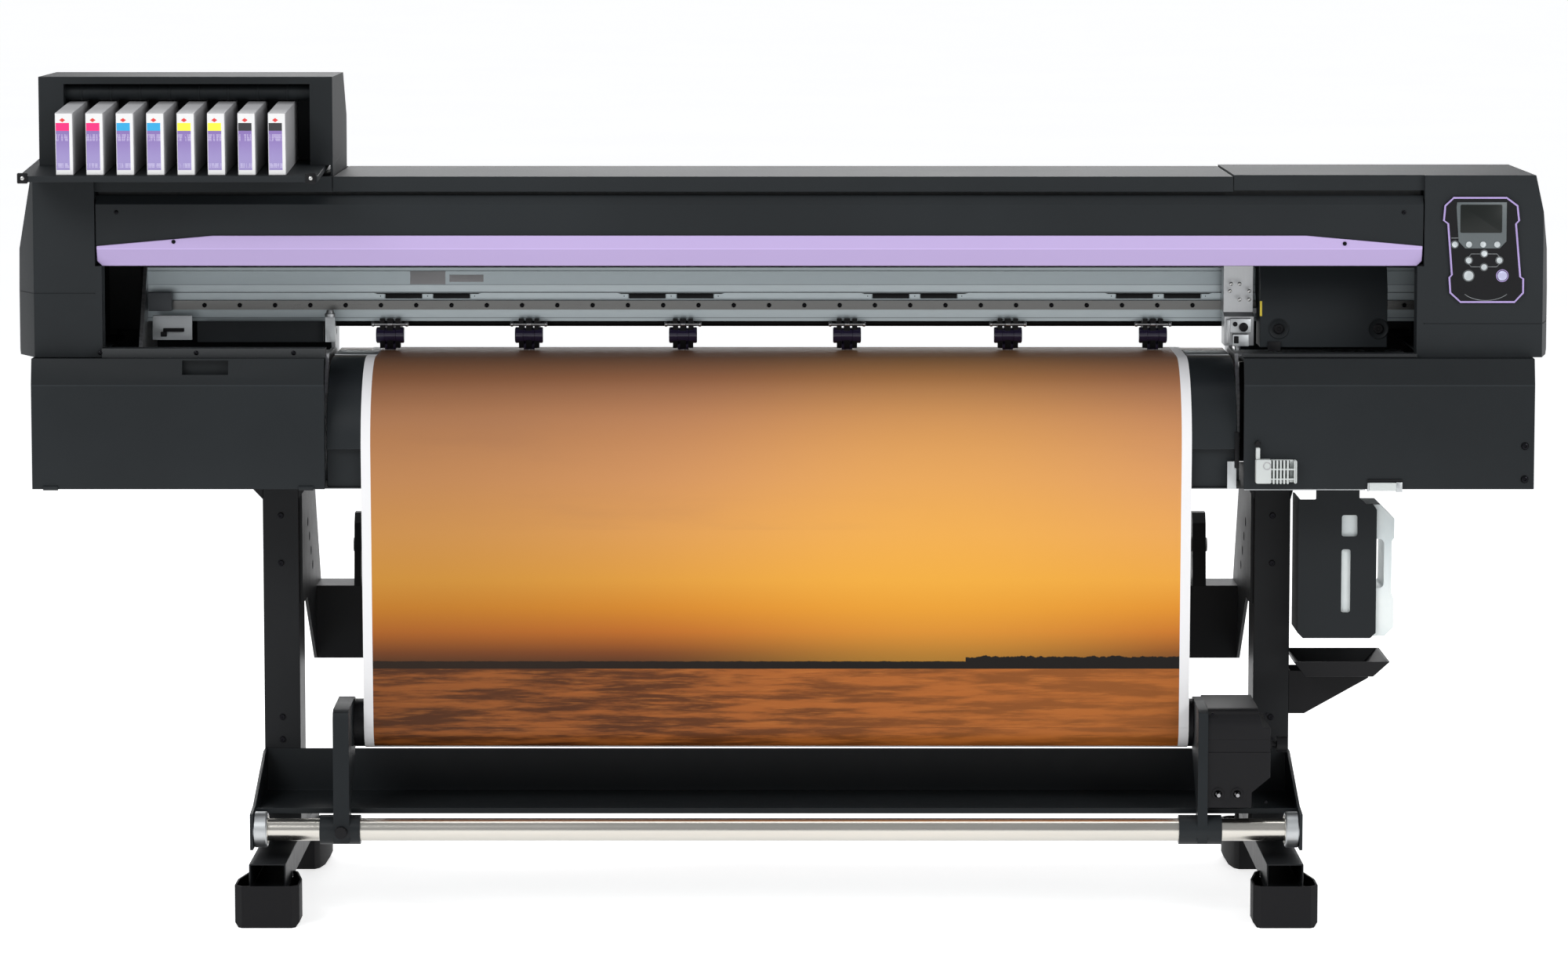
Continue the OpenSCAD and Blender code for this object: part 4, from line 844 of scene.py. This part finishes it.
class CUTTER_OT_cartridges(SUBJECT, bpy.types.Operator):
    """Finish the cartridges, label them, and dress the shelf and box"""

    bl_idname = "cutter.cartridges"
    bl_label = "Cartridges"

    def execute(self, context):
        for number, node in enumerate(CARTRIDGES):
            softened(node, node, F["cartridge"], 1.2 * MM)
            foot, width, rise = label_face(node)
            height = np.linalg.norm(rise)
            shape = Shape()
            slab(shape, round_box(width * 0.94, height - 2.0 * MM, 0.8 * MM), foot + X * width / 2 + rise / 2,
                 X, rise / height, 0.0006)
            shape.piece(f"{node}_label", node, F[LABELS[number]], "cartridge_plastic")
        rod, clips = Shape(), Shape()
        turned(rod, (-1.176, -0.150, 1.352), X, [(0, 0.0), (0, 0.010), (0.390, 0.010), (0.390, 0.0)], 28)
        rod.piece("shutter_rod", "root", F["black"], "black_plastic")
        for x in np.linspace(-1143, -808, 8):
            turned(clips, (x * MM - 0.0015, -0.150, 1.352), X, [(0, 0.0), (0, 0.0115), (0.0005, 0.012),
                   (0.0025, 0.012), (0.003, 0.0115), (0.003, 0.0)], 24)
        clips.piece("shutter_clips", "root", F["grey_box"], "charcoal_cover")
        front, r = lo("cartridge_shelf")[1], self.sizes.screw
        shape = Shape()
        for x in (-1221, -758):
            slab(shape, round_box(0.017, 0.017, 0.002), (x * MM, front + 0.0015, 1.2205), X, Z, 0.003, 0.0006)
        shape.piece("shelf_brackets", "root", F["black"], "black_plastic")
        screws("shelf_screws", "root", F["bright_screw"], "frame_steel", front - 0.001,
               ((-1221, 1220.5), (-758, 1220.5)), r * 0.8)
        return {"FINISHED"}


class CUTTER_OT_stand(SUBJECT, bpy.types.Operator):
    """Finish the stand, feet and beams, and add gussets, end rings and bolts"""

    bl_idname = "cutter.stand"
    bl_label = "Stand"

    def execute(self, context):
        edge = self.sizes.steel_edge
        softened("stand_sides", "root", F["stand"], edge)
        softened("lower_beam", "root", F["panel"], edge * 0.5)
        softened("rear_beam", "root", F["stand"], edge * 0.5)
        softened("foot_boxes", "root", F["foot"], edge)
        softened("accessory_tray", "root", F["black"], edge * 0.5)
        tube_low, tube_high = lo("takeup_tube"), hi("takeup_tube")
        middle, radius = (tube_low + tube_high) / 2, (tube_high[2] - tube_low[2]) / 2
        rings = Shape()
        for x, way in ((tube_low[0], 1), (tube_high[0], -1)):
            turned(rings, (x, middle[1], middle[2]), X * way,
                   [(-0.0, radius * 0.6), (0.0, radius + 0.004), (0.002, radius + 0.006), (0.020, radius + 0.006),
                    (0.022, radius + 0.004), (0.022, radius - 0.001)], 40)
        rings.piece("tube_end_rings", "root", F["zinc"], "frame_steel", 30)
        gussets = Shape()
        for x0, x1 in ((-905, -870), (-785, -810), (764, 788), (858, 848)):
            slab(gussets, np.array([(x0, 705), (x1, 705), (x1, 668)]) * MM, (0, -0.028, 0), X, Z, 0.003)
        gussets.piece("post_gussets", "root", F["stand"], "stand_steel")
        bolts = Shape()
        for x in (-840, 818):
            for z in (640, 560, 300, 262):
                turned(bolts, (x * MM, -0.030, z * MM), OUT, [(0, 0.005), (0.0025, 0.005), (0.0032, 0.0042),
                                                             (0.0032, 0.0022), (0.0014, 0.0018), (0.0014, 0)], 16)
        bolts.piece("post_bolts", "root", F["screw"], "black_plastic")
        return {"FINISHED"}


class CUTTER_OT_mechanism(SUBJECT, bpy.types.Operator):
    """Finish the frame, bar, rail and rollers, and add the rail screws and the bar's fittings"""

    bl_idname = "cutter.mechanism"
    bl_label = "Mechanism"

    def execute(self, context):
        plain = {"main_frame": "frame", "linear_rail": "rail", "feed_roller": "roller", "pinch_wheels": "rubber",
                 "carriage_block": "cutter", "platen": "platen", "takeup_tube": "tube", "drive_hub": "black",
                 "idle_hub": "black", "clamp_knob": "black", "direction_switch": "chrome",
                 "mode_switch": "chrome", "supply_roll": "wound", "takeup_roll": "print"}
        for node, finish in plain.items():
            finish_node(node, F[finish])
        softened("y_bar", "root", F["bar"], 0.6 * MM)
        self.pinch_arms()
        rail_middle = (lo("linear_rail")[2] + hi("linear_rail")[2]) / 2 / MM
        places = [(x, rail_middle) for x in np.arange(-1030, 1140, 59.2)]
        screws("rail_screws", "root", F["screw"], "rail_steel", RAIL_FRONT, places, 3.4 * MM)
        face = lo("y_bar")[1]
        # Painted shade: black slabs in the bar's slots, and a thin dark strip under the step above them
        slot_shades = Shape()
        middles = [-597 + 409 * i for i in range(4)]
        for c in middles:
            for a, b in ((c - 71, c - 9.5), (c + 9.5, c + 71)):
                outline = np.array([(a + 1, 0), (b - 1, 0), (b, 1), (b, 9), (a, 9), (a, 1)]) * MM
                slab(slot_shades, outline, (0, face + 0.0005, 0.9980), X, Z, 0.0011, 0.0003)
            slab(slot_shades, np.array([(c - 84, 7.6), (c + 84, 7.6), (c + 90, 9.2), (c - 90, 9.2)]) * MM,
                 (0, face + 0.0005, 0.9980), X, Z, 0.0009)
        slot_shades.piece("bar_slot_shades", "root", F["black"], "black_plastic")
        screws("bar_screws", "root", F["screw"], "rail_steel", face, [(c + x, 1002) for c in middles for x in (-79, 0, 79)],
               0.9 * MM)
        blocks("bar_labels", "root", F["cartridge"], "cartridge_plastic",
               ((-626, -567), (face / MM - 0.4, face / MM + 0.2), (1022, 1044)),
               ((-560, -503), (face / MM - 0.4, face / MM + 0.2), (1026, 1038)), edge=0.0002)
        blocks("platen_edge_plates", "root", F["zinc"], "frame_steel",
               ((-744, -674), (-68, 16), (912, 913.4)), ((670, 740), (-68, 16), (912, 913.4)), edge=0.0003)
        # Painted shade: black blocks behind the seams by the sill stand for the shade seen through the gaps
        blocks("seam_shade_blanks", "root", F["black"], "black_plastic", ((-1136, -1098), (182, 185), (913, 936)),
               ((1026, 1066), (182, 185), (913, 936)))
        # Left bay: home sensor box on the rail, latch plate, dark inner panel and the bar's bracket
        blocks("home_sensor", "root", F["grey_box"], "body_panel", ((-1063, -1024), (18, 39), (979, 1010)))
        blocks("latch_plate", "root", F["zinc"], "frame_steel", ((-1054, -988), (2, 8), (932, 973)))
        blocks("latch_tongue", "root", F["black"], "black_plastic", ((-1036, -1001), (-4, 2), (946, 952)),
               ((-1040, -1030), (-6, 2), (938, 946)))
        blocks("bay_panel", "root", F["cover"], "body_panel", ((-980, -769), (6, 12), (928, 963)))
        blocks("bar_bracket", "root", F["zinc"], "frame_steel", ((-765, -749), (-6, 12), (929, 971)))
        nut = Shape()
        turned(nut, (-0.757, 0.003, 0.971), Z, [(0, 0.009), (0.005, 0.009), (0.006, 0.007), (0.011, 0.0055),
                                               (0.011, 0.0)], 18)
        nut.piece("bracket_nut", "root", F["zinc"], "frame_steel")
        return {"FINISHED"}

    def pinch_arms(self):
        """Arms on one lift shaft, each with a cross pin, a drum and a narrow foot over its wheel."""
        low, high = lo("pinch_arms"), hi("pinch_arms")
        arms, pins, drums = Shape(), Shape(), Shape()
        turned(arms, (low[0], 0.088, 0.954), X, [(0, 0.004), (0.001, 0.0055), (high[0] - low[0] - 0.001, 0.0055),
                                                (high[0] - low[0], 0.004)], 20)
        side = np.array([(27, 925), (31, 916), (46, 916), (60, 944), (92, 945), (92, 962), (50, 961), (41, 965.5),
                         (27, 965.5)]) * MM
        for x in PINCH_AT:
            for x0, wide in ((-17, 8), (9, 8), (-5, 10)):
                slab(arms, side, ((x + x0) * MM, 0, 0), Y, Z, wide * MM, 0.0008)
            turned(pins, (x * MM - 0.031, 0.0263, 0.9565), X, [(0, 0), (0, 0.0030), (0.001, 0.0042), (0.0045, 0.0042),
                   (0.0055, 0.0022), (0.026, 0.0022), (0.027, 0.0036), (0.035, 0.0036), (0.036, 0.0022),
                   (0.0565, 0.0022), (0.0575, 0.0042), (0.061, 0.0042), (0.062, 0.0030), (0.062, 0)], 16)
            turned(drums, (x * MM - 0.0235, 0.0365, 0.9375), X, [(0, 0), (0, 0.0115), (0.0014, 0.0134),
                   (0.0135, 0.0134), (0.0142, 0.0124), (0.0328, 0.0124), (0.0335, 0.0134), (0.0456, 0.0134),
                   (0.047, 0.0115), (0.047, 0)], 28)
        made = arms.piece("pinch_arms_finished", "pinch_arms", F["black"], "black_plastic")
        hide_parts("pinch_arms")
        pins.piece("pinch_pins", "pinch_arms", F["cutter"], "cutter_metal")
        drums.piece("pinch_drums", "pinch_arms", F["drum"], "black_plastic")


class CUTTER_OT_carriage(SUBJECT, bpy.types.Operator):
    """Finish the print carriage and its cutter"""

    bl_idname = "cutter.carriage"
    bl_label = "Carriage"

    def execute(self, context):
        softened("carriage_cover", "carriage", F["smooth_cover"], 1.4 * MM)
        softened("cutter_unit", "carriage", F["cutter"], 0.8 * MM)
        face = lo("carriage_cover")[1]
        rings, knobs = Shape(), Shape()
        for x in (823, 988):
            place = np.array((x * MM, face + 0.0002, 0.956))
            turned(rings, place, OUT, [(0, 0.0175), (0.0012, 0.0172), (0.0016, 0.0160), (0.0004, 0.0135),
                                       (0.0004, 0)], 36)
            turned(knobs, place, OUT, [(0, 0.0085), (0.003, 0.0085), (0.0042, 0.0070), (0.0042, 0.0035),
                                       (0.0026, 0.003), (0.0026, 0)], 28)
        rings.piece("carriage_recesses", "carriage", F["cover"], "carriage_plastic")
        knobs.piece("carriage_knobs", "carriage", F["black"], "black_plastic")
        front = face / MM
        blocks("carriage_latch", "carriage", F["black"], "black_plastic", ((805, 826), (front - 4, front), (919, 935)))
        blocks("caution_strip", "carriage", F["yellow"], "carriage_plastic",
               ((791.2, 794.8), (front - 0.4, front + 0.2), (977, 1002)), edge=0.0001)
        cutter = lo("cutter_unit")[1]
        screws("cutter_screws", "carriage", F["bright_screw"], "frame_steel", cutter,
               ((745, 1029), (759, 1029), (743, 1017), (775, 1017), (759, 1003), (775, 1003)), 3.2 * MM)
        front = cutter / MM
        blocks("cutter_head", "carriage", F["zinc"], "cutter_metal", ((743, 778), (front - 14, front), (948, 972)),
               ((747, 774), (front - 16, front), (926, 946)), edge=0.001)
        blocks("cutter_bracket", "carriage", F["cutter"], "cutter_metal", ((737, 743), (front - 12, front), (930, 970)))
        dark = Shape()
        turned(dark, (0.765, (front - 14) * MM, 0.958), OUT, [(0, 0.0075), (0.003, 0.0075), (0.004, 0.006),
                                                            (0.004, 0)], 24)
        block(dark, (749, 757), (front - 17, front - 14), (931, 943))
        turned(dark, (0.751, (front - 14) * MM, 0.963), OUT, [(0, 0.004), (0.002, 0.004), (0.002, 0)], 16)
        dark.piece("cutter_knob", "carriage", F["black"], "black_plastic")
        return {"FINISHED"}


class CUTTER_OT_panel(SUBJECT, bpy.types.Operator):
    """Finish the control panel: its rim line, display and keys"""

    bl_idname = "cutter.panel"
    bl_label = "Control panel"

    def execute(self, context):
        face = lo("control_panel")[1]
        centre = np.array((1.142, face, 1.097))
        softened("control_panel", "root", F["black"], 1.0 * MM)
        outline = np.array([(-37, -87), (52, -87), (67, -71), (67, -47), (62, -44), (54, 43), (59, 48), (56, 73),
                            (37, 87), (-50, 87), (-65, 73), (-67, 48), (-60, 43), (-53, -41), (-57, -45),
                            (-55, -71)]) * 0.995 * MM
        lines = Shape()
        band(lines, outline, centre, X, Z, 0.0030, 0.0008)
        ring = lo("key_pause"), hi("key_pause")
        middle = (ring[0] + ring[1]) / 2
        band(lines, disc((ring[1][0] - ring[0][0]) / 2 + 0.0022, 32), (middle[0], face, middle[2]), X, Z, 0.0012,
             0.0007)
        lines.piece("panel_line", "root", F["rim"], "purple_trim")
        bezel, glass, marks = Shape(), Shape(), Shape()
        frame_outline = np.array([(-41, 14), (-30, 2.5), (26, 2.5), (37, 14), (37, 78), (-44, 78), (-45, 70)]) * MM
        slab(bezel, frame_outline, centre, X, Z, 0.0012, 0.0005)
        bezel.piece("display_bezel", "root", F["bezel"], "panel_face")
        slab(glass, round_box(0.068, 0.046, 0.002, centre=(-0.0045, 0.051)), centre + OUT * 0.0010, X, Z, 0.0009,
             0.0003)
        glass.piece("display_glass", "root", F["lcd"], "panel_face")
        keys = {k: (lo(k) + hi(k)) / 2 for k in KEYS}
        left, right, top, bottom = (keys[f"key_{k}"] - centre for k in ("left", "right", "up", "down"))
        inner, outer = left[0] + 0.004, right[0] - 0.004
        middle = (left[2] + right[2]) / 2
        loop = np.array([(inner, bottom[2]), (outer, bottom[2]), (right[0] + 0.002, middle - 0.004),
                         (right[0] + 0.002, middle + 0.004), (outer, top[2]), (inner, top[2]),
                         (left[0] - 0.002, middle + 0.004), (left[0] - 0.002, middle - 0.004)])
        band(marks, loop, centre, X, Z, 0.0009, 0.0004)
        for key in KEYS[:9]:
            size = hi(key)[0] - lo(key)[0]
            band(marks, disc(size / 2 + 0.0016, 24), (keys[key][0], face, keys[key][2]), X, Z, 0.0007, 0.0005)
        a = np.linspace(math.radians(215), math.radians(325), 24)
        arc = np.stack([0.0 + 0.042 * np.cos(a), 0 * a, 0.024 * np.sin(a)], 1)
        swept(marks, centre + np.array((0.0045, 0, -0.0585)) + arc, 0.0006, 8)
        for key in KEYS[:4]:
            slab(marks, round_box(0.012, 0.0011, 0.0005, 2), (keys[key][0], face, keys[key][2] + 0.0105), X, Z, 0.0004)
        marks.piece("panel_marks", "root", F["line"], "key_plastic")
        for node in KEYS:
            lilac = node == "key_pause"
            softened(node, node, F["lilac_key" if lilac else "key"], 0.8 * MM)
        return {"FINISHED"}


class CUTTER_OT_right_side(SUBJECT, bpy.types.Operator):
    """Make the vented box, the latch and the guide's bracket on the right lower cover"""

    bl_idname = "cutter.right_side"
    bl_label = "Right side fittings"

    def execute(self, context):
        front = LOWER_FRONT / MM
        box = Shape()
        block(box, (770, 795), (front - 18, front), (719, 758), 0.0015)
        block(box, (832, 837), (front - 18, front), (719, 757), 0.0015)
        block(box, (795, 832), (front - 4, front), (720, 757), 0.001)
        for i in range(5):
            block(box, (797.6 + i * 5.7, 800.6 + i * 5.7), (front - 17, front - 2), (718.5, 757.5), 0.0006)
        for z in (726, 742):
            block(box, (794, 833), (front - 16.5, front - 2), (z - 1, z + 1.2), 0.0004)
        block(box, (770.5, 777), (front - 12, front), (758, 777), 0.001)
        box.piece("vented_box", "root", F["white"], "cartridge_plastic")
        dark = Shape()
        turned(dark, (0.7735, (front - 2) * MM, 0.7835), OUT, [(0, 0.0045), (0.008, 0.0045), (0.009, 0.0035),
                                                             (0.009, 0)], 18)
        block(dark, (953, 1010), (front - 3, front), (721, 724.5), 0.0006)
        # Painted shade: six dark strips on the back plate between the slats stand for the dark inside the vent slots
        for i in range(6):
            block(dark, (795.2 + i * 5.7, 797.2 + i * 5.7), (front - 4.6, front - 3.6), (721, 756), 0.0002)
        dark.piece("box_button_and_vent_shade", "root", F["black"], "black_plastic")
        recess = Shape()
        turned(recess, (0.788, (front - 18) * MM, 0.748), OUT, [(-0.001, 0.0068), (0.0007, 0.0064), (0.0007, 0.0052),
                                                              (-0.0006, 0.0048), (-0.0006, 0)], 24)
        recess.piece("box_recess", "root", F["cartridge"], "cartridge_plastic")
        blocks("latch", "root", F["white"], "cartridge_plastic", ((956, 1000), (front - 6, front), (706, 719)))
        blocks("latch_catch", "root", F["zinc"], "frame_steel", ((1000, 1010), (front - 5, front), (704, 720)),
               ((953, 956), (front - 5, front), (705, 719)), ((752, 950), (front - 0.6, front), (706.6, 708.4)))
        side = lo("front_guide")[1] / MM
        blocks("guide_bracket", "root", F["zinc"], "frame_steel", ((726, 741), (side - 3, side + 4), (707, 752)))
        blocks("guide_side", "root", F["black"], "black_plastic", ((738, 745), (side - 5, side + 6), (741, 800)))
        return {"FINISHED"}


class CUTTER_OT_takeup(SUBJECT, bpy.types.Operator):
    """Finish the take-up arms and the motor box"""

    bl_idname = "cutter.takeup"
    bl_label = "Take-up unit"

    def execute(self, context):
        softened("takeup_left_arm", "left_arm", F["panel"], 1.5 * MM)
        softened("takeup_right_arm", "root", F["panel"], 1.5 * MM)
        softened("motor_box", "root", F["black"], 2.0 * MM)
        front = lo("motor_box")[1]
        screws("motor_box_screws", "root", F["screw"], "black_plastic", front, ((700, 345), (788, 345), (788, 200)),
               2.6 * MM)
        roll = (lo("takeup_roll") + hi("takeup_roll")) / 2
        cap = Shape()
        turned(cap, (-0.7338, roll[1], roll[2]), -X, [(0, 0.012), (0.002, 0.012), (0.003, 0.010), (0.003, 0.005),
                                                      (0.0015, 0.0045), (0.0015, 0)], 28)
        cap.piece("left_arm_cap", "left_arm", F["black"], "black_plastic")
        return {"FINISHED"}


class CUTTER_OT_bottle(SUBJECT, bpy.types.Operator):
    """Finish the waste bottle"""

    bl_idname = "cutter.bottle"
    bl_label = "Waste bottle"

    def execute(self, context):
        softened("waste_bottle", "waste_bottle", F["bottle"], 4.0 * MM)
        return {"FINISHED"}


class CUTTER_OT_film(SUBJECT, bpy.types.Operator):
    """Make the printed film from the supply roll to the take-up roll"""

    bl_idname = "cutter.film"
    bl_label = "Printed film"

    def execute(self, context):
        left, right = lo("media_web")[0], hi("media_web")[0]
        supply, takeup = np.array((0.332, 0.5855)), np.array((-0.2062, 0.3088))
        rear, front = (np.array((0.095, 0.8315)), 0.0803), (np.array((-0.090, 0.7715)), 0.1403)
        a = np.radians(np.linspace(30.3, 90, 24))
        b = np.radians(np.linspace(90, 183.0, 40))
        rear_arc = rear[0] + rear[1] * np.stack([np.cos(a), np.sin(a)], 1)
        front_arc = front[0] + front[1] * np.stack([np.cos(b), np.sin(b)], 1)
        down = np.linspace(front_arc[-1], takeup, 14)[1:]
        up = np.linspace(supply, rear_arc[0], 12)[:-1]
        path = np.concatenate([up, rear_arc, np.linspace(rear_arc[-1], front_arc[0], 6)[1:-1], front_arc, down])
        along = np.gradient(path, axis=0)
        along /= np.linalg.norm(along, axis=1, keepdims=True)
        normal = np.stack([along[:, 1], -along[:, 0]], 1)  # away from the guides
        across = np.linspace(left, right, 25)
        # Two faces, 0.1 mm and 0.7 mm outside the guides, joined along the film's edges
        loop = np.concatenate([path + normal * 0.0001, (path + normal * 0.0007)[::-1]])
        points = np.stack(np.broadcast_arrays(across[:, None], loop[None, :, 0], loop[None, :, 1]), -1)
        rows, columns = points.shape[:2]
        faces = list(grid_faces(rows, columns, wrap_columns=True))
        half = len(path)
        strip = np.arange(half - 1)
        for start in (0, (rows - 1) * columns):
            ends = np.stack([strip, strip + 1, columns - 2 - strip, columns - 1 - strip], 1) + start
            faces += [tuple(map(int, q)) for q in ends]
        film = Shape().add(points, faces).piece("printed_web", "root", F["print"], "media", 50)
        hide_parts("media_web")
        return {"FINISHED"}


CLASSES = (PaintSettings, ShapeSettings, ViewSettings, CUTTER_OT_stage, CUTTER_OT_finishes, CUTTER_OT_cable,
           CUTTER_OT_covers, CUTTER_OT_cartridges, CUTTER_OT_stand, CUTTER_OT_mechanism, CUTTER_OT_carriage,
           CUTTER_OT_panel, CUTTER_OT_right_side, CUTTER_OT_takeup, CUTTER_OT_bottle, CUTTER_OT_film)


class CUTTER_PT_sidebar(bpy.types.Panel):
    """Lists the pieces and their settings"""

    bl_idname = "CUTTER_PT_sidebar"
    bl_label = "Printer cutter"
    bl_space_type = "VIEW_3D"
    bl_region_type = "UI"
    bl_category = "Printer cutter"

    def draw(self, context):
        for operator in CLASSES:
            if issubclass(operator, bpy.types.Operator):
                self.layout.operator(operator.bl_idname)
        for group in (context.scene.cutter_paint, context.scene.cutter_shape, context.scene.cutter_view):
            for name in group.bl_rna.properties.keys():
                if name not in ("rna_type", "name"):
                    self.layout.prop(group, name)


def register():
    for made in (*CLASSES, CUTTER_PT_sidebar):
        bpy.utils.register_class(made)
    bpy.types.Scene.cutter_paint = PointerProperty(type=PaintSettings)
    bpy.types.Scene.cutter_shape = PointerProperty(type=ShapeSettings)
    bpy.types.Scene.cutter_view = PointerProperty(type=ViewSettings)


def unregister():
    for name in ("cutter_paint", "cutter_shape", "cutter_view"):
        delattr(bpy.types.Scene, name)
    for made in reversed((*CLASSES, CUTTER_PT_sidebar)):
        bpy.utils.unregister_class(made)


def main():
    register()
    for operator in CLASSES:
        if issubclass(operator, bpy.types.Operator):
            group, name = operator.bl_idname.split(".")
            if getattr(getattr(bpy.ops, group), name)() != {"FINISHED"}:
                raise RuntimeError(f"{operator.bl_label} did not finish")


if __name__ == "__main__":
    main()
